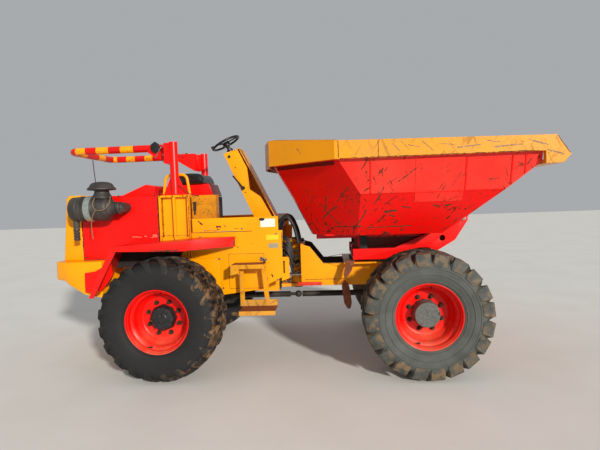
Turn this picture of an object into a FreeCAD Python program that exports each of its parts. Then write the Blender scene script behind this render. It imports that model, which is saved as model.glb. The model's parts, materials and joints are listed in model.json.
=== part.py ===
import FreeCAD, Part
import math
import os
import re
import Sketcher

# Articulated site dumper: +X is forward, +Y its left hand, +Z up, millimetres.
# The origin is on the ground, under the steering pivot, half way between the axles.

doc = FreeCAD.newDocument("site_dumper")
sheet = doc.addObject("Spreadsheet::Sheet", "sizes")

# Driving dimensions: a word for each, with its value in millimetres or degrees.
SIZES = (
    # running gear
    ("axle_spacing", 2480), ("tyre_radius", 586), ("tyre_width", 500), ("tyre_span", 1160),
    ("bead_width", 380), ("bulge_radius", 420), ("foot_width", 400),
    ("tyre_sides", 24), ("lug_count", 20), ("lug_deep", 48), ("lug_bite", 12), ("lug_sag", 3.4),
    ("lug_wide", 44), ("lug_slant", 25), ("lug_middle", 130), ("lug_inner", 100),
    ("lug_flat", 70), ("lug_end", 116), ("lug_tall", 127), ("lug_start", 6),
    ("rim_radius", 305), ("rim_width", 430),
    ("rim_wall", 12), ("flange_wide", 12), ("seat_radius", 286), ("seat_wide", 50),
    ("well_radius", 256), ("dish_deep", 170), ("disc_wall", 14), ("disc_step", 34),
    ("disc_flat", 205), ("hub_radius", 178), ("hub_back", 62), ("cap_radius", 122),
    ("cap_deep", 72), ("cap_front", 92), ("cap_rim", 18), ("spindle_radius", 45),
    ("spindle_deep", 60), ("run_gap", 5), ("seat_gap", 0.3),
    ("drum_radius", 192), ("drum_wide", 90), ("axle_tube", 75), ("tube_start", 240),
    ("taper_wide", 70), ("diff_radius", 168), ("diff_wide", 110),
    # rear chassis
    ("frame_low", 700), ("frame_high", 1105), ("frame_inside", 300), ("frame_wall", 20),
    ("frame_front", 180), ("deck_wall", 13), ("pad_long", 240), ("pad_wide", 90),
    ("pad_bite", 40), ("pad_rise", 60),
    ("weight_front", 1930), ("weight_rear", 2450), ("weight_half", 750),
    ("weight_top", 1120), ("weight_side", 2275), ("weight_corner", 660), ("weight_toe", 752),
    ("weight_heel", 936), ("weight_heel_x", 2330), ("weight_knee", 788),
    ("weight_knee_x", 2114), ("pivot_low", 735), ("pivot_high", 1205), ("yoke_wall", 35),
    ("yoke_radius", 85), ("pivot_tube", 75), ("pivot_pin", 30), ("pivot_gap", 8),
    ("pin_head", 52), ("pin_head_tall", 14), ("pin_fit", 0.05), ("window_low", 790),
    ("window_high", 930), ("window_in", 100),
    # engine bay
    ("side_face", 620), ("panel_face", 600), ("panel_wall", 6), ("panel_top", 1766),
    ("panel_rear", 2190), ("panel_front", 1353), ("panel_lip", 365), ("cowl_rear_low", 2400),
    ("cowl_rear_high", 2340), ("cowl_top", 1798), ("cowl_wall", 70), ("grille_slats", 9),
    ("slat_tall", 34), ("slat_wall", 8), ("grille_deep", 50), ("core_deep", 70),
    ("engine_rear", 1920), ("gearbox_gap", 180), ("engine_half", 265), ("engine_low", 790),
    ("engine_high", 1520), ("gearbox_long", 330), ("gearbox_half", 180), ("gearbox_low", 540),
    ("gearbox_high", 1040), ("mount_long", 90), ("mount_tall", 60),
    ("lid_half", 380), ("lid_rear", 2184), ("lid_front", 1485), ("lid_flat", 1790),
    ("lid_rise", 1840), ("lid_peak_x", 1580), ("lid_peak", 1897), ("lid_brow", 1873),
    ("lid_wall", 5), ("hinge_pin", 8), ("hinge_ear", 10), ("hinge_up", 18), ("ear_side", 386),
    ("ear_half", 18),
    ("cleaner_radius", 121), ("cleaner_rear", 2250), ("cleaner_front", 1795),
    ("cleaner_side", 745), ("cleaner_height", 1655), ("neck_x", 1895), ("neck_radius", 70),
    ("neck_tall", 183), ("cap_spread", 145), ("cap_brim", 26), ("cap_dome", 60),
    ("valve_x", 2190), ("valve_radius", 27), ("valve_drop", 315), ("elbow_radius", 58),
    ("elbow_run", 75), ("band_wide", 38), ("band_wall", 6), ("band_rear", 2105),
    ("band_front", 1925), ("foot_wide", 120),
    # roll bar
    ("rib_front", 1039), ("rib_in", 500), ("rib_out", 630), ("rib_top", 1765),
    ("rib_recess", 55), ("rib_edge", 20), ("rib_low", 1330),
    ("post_x", 1190), ("post_side", 575), ("post_radius", 42.5), ("post_up", 40),
    ("post_foot", 12), ("gusset_wall", 10), ("gusset_reach", 75), ("gusset_tall", 190),
    ("fold_x", 1400), ("fold_z", 2270), ("hoop_half", 450), ("hoop_rear", 2390),
    ("hoop_tube", 38), ("hoop_bend", 95), ("hoop_end", 38), ("ear_wall", 12),
    ("ear_gap", 5), ("ear_radius", 52), ("ear_reach", 99), ("ear_drop", 43),
    ("fold_pin", 16), ("fold_head", 50), ("fold_head_wall", 8), ("flange_x", 1262),
    ("flange_wall", 15), ("flange_down", 180), ("flange_up", 30), ("flange_out", 618),
    ("rail_side", 515), ("rail_tube", 15), ("rail_rear", 1335), ("rail_front", 1056),
    ("rail_lean", 30), ("rail_top", 1972), ("rail_bend", 60),
    # seat and cab
    ("platform_front", 960), ("platform_half", 499), ("platform_top", 1755),
    ("seat_rear", 1320), ("seat_front", 985), ("seat_half", 245), ("seat_low", 1890),
    ("seat_high", 1985), ("box_rear", 1295), ("box_front", 935), ("box_half", 205),
    ("box_lean", 45),
    ("tool_rear", 1012), ("tool_front", 760), ("tool_lid", 1662), ("tool_top", 1753),
    ("tool_wall", 4), ("knuckle_radius", 5),
    ("sill_rear", 1020), ("sill_front", 137), ("sill_low", 1374),
    ("sill_top", 1517), ("sill_wall", 8), ("floor_wall", 12), ("floor_front", 170),
    ("skirt_rear", 740), ("skirt_front", 95), ("skirt_toe", 113), ("skirt_toe_z", 898),
    ("skirt_knee", 248), ("skirt_knee_z", 831), ("skirt_heel", 278), ("skirt_heel_z", 785),
    ("skirt_rear_z", 728),
    ("console_half", 160), ("console_base_rear", 400), ("console_base_front", 190),
    ("console_top_rear", 765), ("console_top_rear_z", 2210), ("console_top_front", 585),
    ("console_top_front_z", 2265), ("console_front_z", 1450), ("console_wall", 8),
    ("notch_top", 608), ("notch_neck", 510), ("notch_neck_z", 2050), ("notch_back", 486),
    ("notch_back_z", 1812), ("notch_step", 372), ("notch_step_z", 1730), ("notch_low", 250),
    ("notch_low_z", 1500),
    ("wheel_x", 771), ("wheel_z", 2353), ("wheel_lean", 27), ("wheel_ring", 158),
    ("wheel_tube", 13), ("wheel_hub", 42), ("wheel_hub_tall", 45), ("spoke_radius", 8),
    ("column_radius", 22), ("boss_radius", 32), ("boss_long", 110), ("boss_drop", 190),
    ("knob_radius", 18), ("knob_tall", 44),
    ("lever_radius", 9), ("lever_knob", 20), ("lever_side", 190), ("lever_x", 560),
    ("lever_z", 1830), ("lever_long", 175), ("lever_lean", 38), ("pedal_long", 150),
    ("pedal_wide", 75), ("pedal_wall", 12), ("pedal_x", 420), ("pedal_side", 240),
    # mudguards and steps
    ("guard_top", 1352), ("guard_back", 1282), ("guard_wall", 5), ("guard_out", 965),
    ("guard_lip", 98), ("guard_sag", 33), ("guard_knee", 1015), ("guard_edge", 48),
    ("guard_front", 500), ("guard_rear", 1715), ("guard_tail", 1960), ("guard_tail_z", 790),
    ("step_room", 149), ("step_front", 155), ("step_z", 632), ("step_in", 715),
    ("step_out", 950), ("step_wall", 6), ("step_lip", 42), ("step_back", 62),
    ("tread_front", 268), ("tread_z", 1056), ("tread_out", 800), ("strap_wide", 45),
    ("strap_wall", 10), ("strap_rear_x", 485), ("strap_front_x", 232),
    # front chassis
    ("nose_front", 1750), ("nose_low", 745), ("nose_high", 985),
    ("top_wall", 15), ("top_half", 420), ("top_rear", 520), ("top_front", 1560),
    ("tower_x", 60), ("tower_wall", 25), ("tower_half", 300), ("brace_x", 300),
    ("rib_half", 45), ("tower_window", 110),
    # slew ring, swivel frame and tipping gear
    ("slew_x", 1020), ("slew_out", 430), ("slew_in", 300), ("slew_tall", 30), ("slew_gap", 0.5),
    ("base_rear", 615), ("base_front", 1430), ("base_half", 450), ("base_wall", 25),
    ("arm_wall", 20), ("arm_top", 1145), ("arm_low", 1064), ("arm_bend", 1040),
    ("arm_rise_x", 1375), ("arm_rise_z", 1282), ("arch_rear", 1170), ("arch_mid", 1300),
    ("arch_front", 1475), ("arch_z", 1118), ("arch_top", 1140), ("arch_foot", 1105),
    ("arm_knee_x", 1657), ("arm_knee_z", 1210), ("tip_x", 1740), ("tip_z", 1430),
    ("tip_end", 58), ("tip_pin", 25), ("lug_wall", 20),
    ("tie_x", 1529), ("tie_z", 1233), ("tie_radius", 30), ("cross_x", 1610), ("cross_z", 1235),
    ("cross_radius", 32), ("stop_x", 710), ("stop_long", 80), ("stop_wide", 90),
    ("ram_x", 660), ("ram_z", 1128), ("ram_radius", 48), ("ram_long", 450),
    ("ram_eye_x", 1220), ("ram_eye_z", 1203), ("ram_rod", 25), ("ram_eye", 32),
    ("ram_eye_half", 30), ("ram_ear_gap", 6), ("ram_ear", 15), ("ram_neck", 40),
    ("ram_foot", 70), ("ram_pin", 20), ("ram_pin_end", 6), ("ram_ear_half", 40),
    ("ram_ear_rise", 32),
    # skip
    ("skip_wall", 6), ("skip_floor_z", 1308), ("skip_crease_z", 1700), ("skip_top_z", 2035),
    ("skip_rear_floor", 190), ("skip_rear_crease", 0), ("skip_rear_top", -185),
    ("skip_back_floor", 300), ("skip_back_crease", 360), ("skip_back_top", 430),
    ("skip_turn_in", 25), ("skip_turn_floor", 450), ("skip_turn_crease", 530),
    ("skip_turn_top", 610),
    ("skip_corner_floor", 645), ("skip_corner_crease", 672), ("skip_corner_top", 460),
    ("skip_half_floor", 780), ("skip_half_crease", 1010), ("skip_half_top", 1105),
    ("skip_nose_floor", 1450), ("skip_nose_crease", 1955), ("skip_nose_top", 2375),
    ("beam_side", 350), ("beam_half", 30), ("beam_tall", 52), ("beam_rear", 240),
    ("beam_front", 1330),
    ("rim_out", 1150), ("rim_sheet", 6), ("rim_low", 2012), ("rim_side_top", 2176),
    ("rim_front_top", 2146), ("rim_back_top", 2262), ("rim_side_front", 2335),
    ("skip_lip_x", 2240), ("rim_nose", 2450), ("rim_nose_z", 1978), ("rim_nose_low", 1905),
    ("rim_nose_under", 2385), ("rim_bar_top", 1938), ("rim_turn_x", 130),
    # steering ram
    ("steer_x", 400), ("steer_side", 200), ("steer_z", 860), ("steer_eye_x", 200),
    ("steer_radius", 32), ("steer_long", 300), ("steer_rod", 16), ("steer_eye", 26),
    ("steer_start", 190), ("steer_neck", 36), ("steer_foot", 60), ("steer_pin", 12),
    ("steer_eye_half", 20), ("steer_ear", 12), ("steer_ear_gap", 4), ("steer_ear_back", 40),
    ("steer_ear_front", 20),
    # shafts, hoses and the loose strap
    ("shaft_z", 600), ("shaft_radius", 32), ("joint_ball", 38), ("joint_gap", 45),
    ("neck_thin", 18), ("neck_long", 90), ("hose_radius", 14), ("hose_high", 1150),
    ("hose_low", 905), ("hose_side", 150), ("hose_step", 60), ("flap_x", 555),
    ("flap_wide", 62), ("flap_wall", 8), ("flap_low", 545), ("flap_out", 12),
)

for row, (word, value) in enumerate(SIZES, 1):
    sheet.set("A%d" % row, word)
    sheet.set("B%d" % row, str(value))
    sheet.setAlias("B%d" % row, word)
doc.recompute()

WORDS = {word for word, value in SIZES}
NODES = []

# Flats in the steering wheel's grip, which keep its mesh light
RING_SIDES = 12

# Places that follow another size
ENGINE_FRONT = "(axle_spacing / 2 - gearbox_gap)"
GEARBOX_FRONT = "(axle_spacing / 2 - gearbox_gap - gearbox_long)"
STEP_REAR = "(axle_spacing / 2 - tyre_radius - step_room)"
POST_TOP = "(fold_z + post_up)"
FLANGE_LOW = "(fold_z - flange_down)"
FLANGE_HIGH = "(fold_z + flange_up)"
NECK_TOP = "(cleaner_height + neck_tall)"
VALVE_LOW = "(cleaner_height - valve_drop)"
FLAP_SIDE = "(top_half + flap_out)"


def tied(text):
    """The expression that ties a property to the sizes named in a plain formula."""
    return re.sub(r"[a-z_]+", lambda found: swap(found.group()), str(text))


def swap(word):
    return "sizes." + word if word in WORDS else word


def worth(text):
    """The present value of a formula, as a plain number."""
    found = sheet.evalExpression(tied(text))
    return float(getattr(found, "Value", found))


def vector(x, y, z):
    return FreeCAD.Vector(worth(x), worth(y), worth(z))


def place(piece, x="0", y="0", z="0", axis=(0, 0, 1), turn="0"):
    """Sets a piece at a named place, turned about one axis."""
    piece.Placement = FreeCAD.Placement(FreeCAD.Vector(), FreeCAD.Rotation(FreeCAD.Vector(*axis), 0))
    piece.setExpression("Placement.Base.x", tied(x))
    piece.setExpression("Placement.Base.y", tied(y))
    piece.setExpression("Placement.Base.z", tied(z))
    piece.setExpression("Placement.Rotation.Angle", tied(turn))
    return piece


def finished(piece, label):
    """Names a piece for its file and keeps it for the export."""
    piece.Label = label
    NODES.append(piece)
    return piece


def new_body(name):
    body = doc.addObject("PartDesign::Body", name)
    body.AllowCompound = True
    return body


def plane_of(body, role):
    return [one for one in body.Origin.OriginFeatures if one.Role == role][0]


def new_sketch(body, role, lift):
    sketch = body.newObject("Sketcher::SketchObject", body.Name + "_sketch")
    sketch.AttachmentSupport = (plane_of(body, role), [""])
    sketch.MapMode = "FlatFace"
    sketch.setExpression("AttachmentOffset.Base.z", tied(lift))
    return sketch


def outline(body, role, points, lift="0"):
    """A closed straight-sided outline; each point is a pair of formulas."""
    sketch = new_sketch(body, role, lift)
    flat = [FreeCAD.Vector(worth(a), worth(b), 0) for a, b in points]
    count = len(points)
    for k in range(count):
        sketch.addGeometry(Part.LineSegment(flat[k], flat[(k + 1) % count]))
    for k in range(count):
        sketch.addConstraint(Sketcher.Constraint("Coincident", k, 2, (k + 1) % count, 1))
    for k, pair in enumerate(points):
        for way, text, number in zip(("DistanceX", "DistanceY"), pair, flat[k]):
            index = sketch.addConstraint(Sketcher.Constraint(way, k, 1, number))
            sketch.setExpression("Constraints[%d]" % index, tied(text))
    return sketch


def circle(body, role, across, along, radius, lift="0"):
    """A round outline on one of the body's own planes."""
    sketch = new_sketch(body, role, lift)
    middle = FreeCAD.Vector(worth(across), worth(along), 0)
    sketch.addGeometry(Part.Circle(middle, FreeCAD.Vector(0, 0, 1), worth(radius)))
    rows = (("DistanceX", 0, 3, across), ("DistanceY", 0, 3, along))
    for way, part, spot, text in rows:
        index = sketch.addConstraint(Sketcher.Constraint(way, part, spot, worth(text)))
        sketch.setExpression("Constraints[%d]" % index, tied(text))
    index = sketch.addConstraint(Sketcher.Constraint("Radius", 0, worth(radius)))
    sketch.setExpression("Constraints[%d]" % index, tied(radius))
    return sketch


def pad(body, sketch, length, both_ways=False):
    feature = body.newObject("PartDesign::Pad", body.Name + "_pad")
    feature.Profile = sketch
    feature.SideType = "Symmetric" if both_ways else "One side"
    feature.setExpression("Length", tied(length))
    return feature


def pocket(body, sketch, length, both_ways=False, backward=False):
    """A cut that has to take something away."""
    doc.recompute()
    before = body.Shape.Volume
    feature = body.newObject("PartDesign::Pocket", body.Name + "_pocket")
    feature.Profile = sketch
    feature.SideType = "Symmetric" if both_ways else "One side"
    feature.Reversed = backward
    feature.setExpression("Length", tied(length))
    doc.recompute()
    if body.Shape.Volume > before - 1:
        raise RuntimeError("nothing was cut from " + body.Name)
    return feature


def revolve(body, points, axis="V_Axis"):
    """Turns an outline of (radius, place) pairs on the XY plane into a round solid about Y."""
    sketch = outline(body, "XY_Plane", points)
    feature = body.newObject("PartDesign::Revolution", body.Name + "_turned")
    feature.Profile = sketch
    feature.ReferenceAxis = (sketch, [axis])
    feature.Angle = 360
    return feature


def sheet_plate(name, role, points, lift, length, both_ways=False):
    """A flat plate of one outline."""
    body = new_body(name)
    pad(body, outline(body, role, points, lift), length, both_ways)
    return body


def block(name, x0, x1, y0, y1, z0, z1):
    """A straight block between two named corners."""
    piece = doc.addObject("Part::Box", name)
    piece.setExpression("Length", tied("(%s) - (%s)" % (x1, x0)))
    piece.setExpression("Width", tied("(%s) - (%s)" % (y1, y0)))
    piece.setExpression("Height", tied("(%s) - (%s)" % (z1, z0)))
    return place(piece, x0, y0, z0)


UP = ((0, 0, 1), "0")
ALONG_X = ((0, 1, 0), "90")
ALONG_Y = ((1, 0, 0), "-90")


def rod(name, radius, length, x, y, z, way=UP):
    """A round bar from one named place along an axis."""
    piece = doc.addObject("Part::Cylinder", name)
    piece.setExpression("Radius", tied(radius))
    piece.setExpression("Height", tied(length))
    return place(piece, x, y, z, way[0], way[1])


def ball(name, radius, x, y, z):
    piece = doc.addObject("Part::Sphere", name)
    piece.setExpression("Radius", tied(radius))
    return place(piece, x, y, z)


def fuse(name, *pieces):
    joined = doc.addObject("Part::MultiFuse", name)
    joined.Shapes = list(pieces)
    joined.Refine = True
    return joined


def cut(name, base, tool):
    left = doc.addObject("Part::Cut", name)
    left.Base = base
    left.Tool = tool
    left.Refine = True
    return left


def mirror(piece):
    """The same piece on the other side of the machine."""
    other = doc.addObject("Part::Mirroring", piece.Name + "_other")
    other.Source = piece
    other.Normal = FreeCAD.Vector(0, 1, 0)
    return other


def group(label, *pieces):
    """Like solids that don't touch, in one file."""
    held = doc.addObject("Part::Compound", label)
    held.Links = list(pieces)
    return finished(held, label)


def bent_tube(name, spots, radius, bend):
    """A round tube along straight runs with tangent bends."""
    points = [vector(*spot) for spot in spots]
    radius = worth(radius)
    bend = worth(bend)
    edges = []
    start = points[0]
    for k in range(1, len(points) - 1):
        back = (points[k - 1] - points[k]).normalize()
        onward = (points[k + 1] - points[k]).normalize()
        turn = math.pi - back.getAngle(onward)
        reach = bend * math.tan(turn / 2)
        first = points[k] + back * reach
        last = points[k] + onward * reach
        inward = (back + onward).normalize()
        centre = points[k] + inward * (bend / math.cos(turn / 2))
        middle = centre - inward * bend
        edges.append(Part.LineSegment(start, first).toShape())
        edges.append(Part.Arc(first, middle, last).toShape())
        start = last
    edges.append(Part.LineSegment(start, points[-1]).toShape())
    wire = Part.Wire(edges)
    way = points[1] - points[0]
    ring = Part.Wire([Part.makeCircle(radius, points[0], way)])
    piece = doc.addObject("Part::Feature", name)
    piece.Shape = wire.makePipeShell([ring], True, True)
    return piece


# Running gear

def faceted_ring(name, section, sides):
    """A ring of flat faces about Y, their middles at the (radius, place) pairs named."""
    count = int(worth(sides))
    turns = [2 * math.pi * k / count for k in range(count)]
    rings = []
    for radius, across in section:
        corner = worth(radius) / math.cos(math.pi / count)
        rings.append([FreeCAD.Vector(corner * math.cos(turn), worth(across),
                                     corner * math.sin(turn)) for turn in turns])
    faces = []
    for one, two in zip(rings, rings[1:] + rings[:1]):
        for k in range(count):
            m = (k + 1) % count
            faces.append(Part.Face(Part.makePolygon([one[k], one[m], two[m], two[k], one[k]])))
    piece = doc.addObject("Part::Feature", name)
    piece.Shape = Part.Solid(Part.Shell(faces))
    return piece


def lug_row(row, slant):
    """One row of slanted lugs; each runs from the crown down to the wall."""
    top = "tyre_radius - lug_sag"
    low = top + " - lug_tall"
    points = (
        ("-lug_inner", "tyre_radius - lug_deep - lug_bite"), ("-lug_inner", top),
        ("lug_flat", top), ("lug_end", low), ("lug_flat", low))
    body = new_body("lug_row")
    sketch = outline(body, "YZ_Plane", [("%s * (%s)" % (row, y), z) for y, z in points])
    sketch.AttachmentOffset = FreeCAD.Placement(
        FreeCAD.Vector(), FreeCAD.Rotation(FreeCAD.Vector(0, 1, 0), 0))
    sketch.setExpression("AttachmentOffset.Base.x", tied(row + " * lug_middle"))
    sketch.setExpression("AttachmentOffset.Rotation.Angle",
                         tied("%s * %s * lug_slant" % (row, slant)))
    lug = pad(body, sketch, "lug_wide", True)
    ring = body.newObject("PartDesign::PolarPattern", "lug_ring")
    ring.Originals = [lug]
    ring.Axis = (plane_of(body, "Y_Axis"), [""])
    ring.Angle = 360
    ring.setExpression("Occurrences", tied("lug_count"))
    body.Tip = ring
    start = "(%s - 1) * 90 / lug_count - %s * lug_start" % (row, slant)
    return place(body, axis=(0, 1, 0), turn=start)


def make_tyre(label, x, side, slant):
    """A wide tyre with its middle at its axle: a carcass with two rows of slanted lugs."""
    half = "tyre_width / 2"
    section = (
        ("seat_radius + seat_gap", "bead_width / 2"), ("bulge_radius", half),
        ("tyre_radius - lug_deep", "foot_width / 2"))
    whole = [(r, "-(%s)" % y) for r, y in section] + list(reversed(section))
    carcass = faceted_ring("carcass", whole, "tyre_sides")
    tyre = fuse(label, carcass, lug_row("1", slant), lug_row("-1", slant))
    place(tyre, x, side + " * (tyre_span - tyre_width / 2)", "tyre_radius")
    return finished(tyre, label)


def make_rim(label, x, side, cap):
    """A stepped deep rim with its dished disc, hub and cap; its outer face is at +y."""
    body = new_body(label)
    edge = "rim_width / 2"
    seat = "(rim_width / 2 - flange_wide)"
    disc = "(rim_width / 2 - dish_deep)"
    outer = [
        ("rim_radius", edge), ("rim_radius", seat), ("seat_radius", seat + " - rim_wall"),
        ("seat_radius", seat + " - seat_wide"),
        ("well_radius", seat + " - seat_wide - 30")]
    back = [(r, "-(%s)" % y) for r, y in reversed(outer)]
    inner = [
        ("rim_radius - rim_wall", "-" + edge),
        ("seat_radius - rim_wall", "-(%s - rim_wall)" % seat),
        ("seat_radius - rim_wall", "-(%s - seat_wide)" % seat),
        ("well_radius - rim_wall", "-(%s - seat_wide - 30)" % seat),
        ("well_radius - rim_wall", disc + " + disc_step - disc_wall"),
        ("disc_flat", disc + " - disc_wall"),
        ("hub_radius", disc + " - disc_wall"), ("hub_radius", disc + " - disc_wall - hub_back"),
        ("spindle_radius + seat_gap", disc + " - disc_wall - hub_back"),
        ("spindle_radius + seat_gap", disc + " - disc_wall - hub_back + spindle_deep"),
        ("0", disc + " - disc_wall - hub_back + spindle_deep"),
        ("0", "%s + %s" % (disc, cap)), ("cap_radius - cap_rim", "%s + %s" % (disc, cap)),
        ("cap_radius", "%s + %s - cap_rim" % (disc, cap)), ("cap_radius", disc),
        ("disc_flat", disc), ("well_radius - rim_wall", disc + " + disc_step"),
        ("well_radius - rim_wall", seat + " - seat_wide - 30"),
        ("seat_radius - rim_wall", seat + " - seat_wide"),
        ("seat_radius - rim_wall", seat + " - rim_wall"), ("rim_radius - rim_wall", edge)]
    revolve(body, outer + back + inner)
    spun = "90 - 90 * (%s)" % side
    place(body, x, side + " * (tyre_span - tyre_width / 2)", "tyre_radius", turn=spun)
    return finished(body, label)


def make_axle(label, x):
    """A rigid axle with its differential, tubes, brake drums and wheel spindles."""
    body = new_body(label)
    face = "(tyre_span - tyre_width / 2 + rim_width / 2 - dish_deep - disc_wall - hub_back"
    end = face + " + spindle_deep - run_gap)"
    drum = face + " - run_gap)"
    half = [
        ("0", end), ("spindle_radius", end), ("spindle_radius", drum), ("drum_radius", drum),
        ("drum_radius", drum + " - drum_wide"),
        ("axle_tube", drum + " - drum_wide - taper_wide"), ("axle_tube", "tube_start"),
        ("diff_radius", "diff_wide")]
    other = [(r, "-(%s)" % y) for r, y in reversed(half)]
    revolve(body, half + other)
    place(body, x, "0", "tyre_radius")
    return finished(body, label)


def axle_saddles(name, x, inside, low, top):
    """Two pads over the axle tubes, under the side plates."""
    made = []
    tube = rod(name + "_room", "axle_tube + seat_gap", "2 * tyre_span", x, "-tyre_span",
               "tyre_radius", ALONG_Y)
    for side in ("1", "-1"):
        middle = "%s * (%s + frame_wall / 2)" % (side, inside)
        pad_block = block(
            name + "_pad", x + " - pad_long / 2", x + " + pad_long / 2",
            middle + " - pad_wide / 2", middle + " + pad_wide / 2", low, top)
        made.append(cut(name + "_saddle", pad_block, tube))
    return made


# The lugs' outer ends point forward over the rear axle and backward over the front one
for end, x, cap, slant in (("rear", "-axle_spacing / 2", "cap_deep", "-1"),
                           ("front", "axle_spacing / 2", "cap_front", "1")):
    make_axle(end + "_axle", x)
    for hand, side in (("right", "-1"), ("left", "1")):
        make_tyre("tyre_%s_%s" % (end, hand), x, side, slant)
        make_rim("rim_%s_%s" % (end, hand), x, side, cap)


# Rear chassis

def side_plates(name, points, inside, wall):
    """A pair of upright plates, one on each side."""
    plate = sheet_plate(name, "XZ_Plane", points, inside, wall)
    return [plate, mirror(plate)]


def make_rear_frame():
    rear = "-weight_front"
    front = "-frame_front"
    plates = side_plates("rear_plate", (
        (rear, "weight_toe"), (rear, "frame_high"), (front, "frame_high"), (front, "frame_low")),
        "frame_inside", "frame_wall")
    inside = "frame_inside"
    bulkhead = block("bulkhead", front + " - frame_wall", front, "-" + inside, inside,
                     "frame_low", "sill_low")
    window = block("window", front + " - 2 * frame_wall", front + " + frame_wall",
                   "-(%s)" % inside, "-window_in", "window_low", "window_high")
    bulkhead = cut("bulkhead_open", bulkhead, fuse("windows", window, mirror(window)))
    deck = block("deck", rear, front, "-(side_face - sill_wall)", "side_face - sill_wall",
                 "frame_high", "frame_high + deck_wall")
    hatch = block("engine_hatch", rear, "-" + GEARBOX_FRONT, "-" + inside, inside,
                  "frame_high - deck_wall", "frame_high + 2 * deck_wall")
    deck = cut("deck_open", deck, hatch)
    yokes = []
    for low in ("pivot_low - yoke_wall", "pivot_high"):
        tongue = block("tongue", front + " - frame_wall", "0", "-yoke_radius", "yoke_radius",
                       low, low + " + yoke_wall")
        nose = rod("tongue_end", "yoke_radius", "yoke_wall", "0", "0", low)
        yokes.append(fuse("yoke", tongue, nose))
    eye = rod("yoke_bore", "pivot_pin + pin_fit", "2 * pivot_high", "0", "0", "0")
    ears = []
    for face in ("-steer_eye_half - steer_ear_gap - steer_ear", "steer_eye_half + steer_ear_gap"):
        low = "steer_z + (%s)" % face
        ears.append(block("steer_ear", "-steer_x - steer_ear_back", "-steer_x + steer_ear_front", "-" + inside,
                          "-steer_side + 35", low, low + " + steer_ear"))
    saddles = axle_saddles("rear_saddle", "-axle_spacing / 2", inside,
                           "tyre_radius + axle_tube - pad_bite", "frame_low + pad_rise")
    whole = fuse("rear_frame_whole", *plates, bulkhead, deck, *yokes, *saddles, *ears)
    bore = rod("steer_bore", "steer_pin + pin_fit", "4 * steer_eye", "-steer_x", "-steer_side",
               "steer_z - 2 * steer_eye")
    finished(cut("rear_frame", whole, fuse("frame_bores", eye, bore)), "rear_frame")


def make_pivot_pins():
    """The upper and lower pins of the steering pivot, with their heads."""
    made = []
    low = "pivot_low - yoke_wall"
    lower = rod("low_pin", "pivot_pin", "yoke_wall + 4 * pivot_gap", "0", "0", low)
    head = rod("low_head", "pin_head", "pin_head_tall", "0", "0", low + " - pin_head_tall")
    made.append(fuse("lower_pin", lower, head))
    upper = rod("high_pin", "pivot_pin", "yoke_wall + 4 * pivot_gap", "0", "0",
                "pivot_high - 4 * pivot_gap")
    head = rod("high_head", "pin_head", "pin_head_tall", "0", "0", "pivot_high + yoke_wall")
    made.append(fuse("upper_pin", upper, head))
    group("articulation_pins", *made)


def make_counterweight():
    """The cast tail weight, undercut towards the wheels and chamfered at its corners."""
    body = new_body("counterweight")
    profile = (
        ("-weight_rear", "weight_top"), ("-weight_rear", "weight_heel"),
        ("-weight_heel_x", "weight_heel - 8"), ("-weight_knee_x", "weight_knee"),
        ("-weight_front", "weight_toe"), ("-weight_front", "weight_top"))
    pad(body, outline(body, "XZ_Plane", profile), "2 * weight_half", True)
    for side in ("1", "-1"):
        corner = (
            ("-weight_side", side + " * weight_half"),
            ("-weight_rear", side + " * weight_corner"),
            ("-weight_rear - 50", side + " * weight_corner"),
            ("-weight_rear - 50", side + " * (weight_half + 50)"),
            ("-weight_side", side + " * (weight_half + 50)"))
        pocket(body, outline(body, "XY_Plane", corner), "2 * weight_top", True)
    finished(body, "counterweight")


def make_cowl():
    """The radiator surround: a deep frame open from back to front."""
    body = new_body("radiator_cowl")
    profile = (
        ("-cowl_rear_low", "weight_top"), ("-cowl_rear_high", "cowl_top - 30"),
        ("-cowl_rear_high + 30", "cowl_top"), ("-panel_rear", "cowl_top"),
        ("-panel_rear", "weight_top"))
    pad(body, outline(body, "XZ_Plane", profile), "2 * panel_face", True)
    opening = (
        ("-(panel_face - cowl_wall)", "weight_top + cowl_wall"),
        ("panel_face - cowl_wall", "weight_top + cowl_wall"),
        ("panel_face - cowl_wall", "cowl_top - cowl_wall"),
        ("-(panel_face - cowl_wall)", "cowl_top - cowl_wall"))
    pocket(body, outline(body, "YZ_Plane", opening, "-cowl_rear_low - 10"),
           "cowl_rear_low", backward=True)
    finished(body, "radiator_cowl")


def make_grille():
    """Sloping slats in the cowl's opening, and the radiator block behind them."""
    half = "(panel_face - cowl_wall)"
    back = "-cowl_rear_high + 20"
    core = block("core", "-panel_rear - core_deep", "-panel_rear", "-" + half, half,
                 "weight_top + cowl_wall", "cowl_top - cowl_wall")
    made = [core]
    for k in range(int(worth("grille_slats"))):
        low = "weight_top + cowl_wall + (%d + 0.2) * (cowl_top - weight_top - 2 * cowl_wall)" % k
        low += " / grille_slats"
        points = (
            (back, low), (back + " + grille_deep", low + " + slat_tall"),
            (back + " + grille_deep", low + " + slat_tall + slat_wall"),
            (back, low + " + slat_wall"))
        made.append(sheet_plate("slat", "XZ_Plane", points, "0", "2 * %s" % half, True))
    group("radiator_grille", *made)


def make_engine():
    """Engine and gearbox, one plain mass on four mounts between the side plates."""
    made = [
        block("engine", "-engine_rear", "-" + ENGINE_FRONT, "-engine_half", "engine_half",
              "engine_low", "engine_high"),
        block("gearbox", "-" + ENGINE_FRONT, "-" + GEARBOX_FRONT, "-gearbox_half", "gearbox_half",
              "gearbox_low", "gearbox_high")]
    for x in ("-engine_rear + mount_long", "-%s - 2 * mount_long" % ENGINE_FRONT):
        made.append(block("mount", x, x + " + mount_long", "-frame_inside", "frame_inside",
                          "frame_high - 2 * mount_tall", "frame_high - mount_tall"))
    finished(fuse("engine_block", *made), "engine_block")


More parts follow.
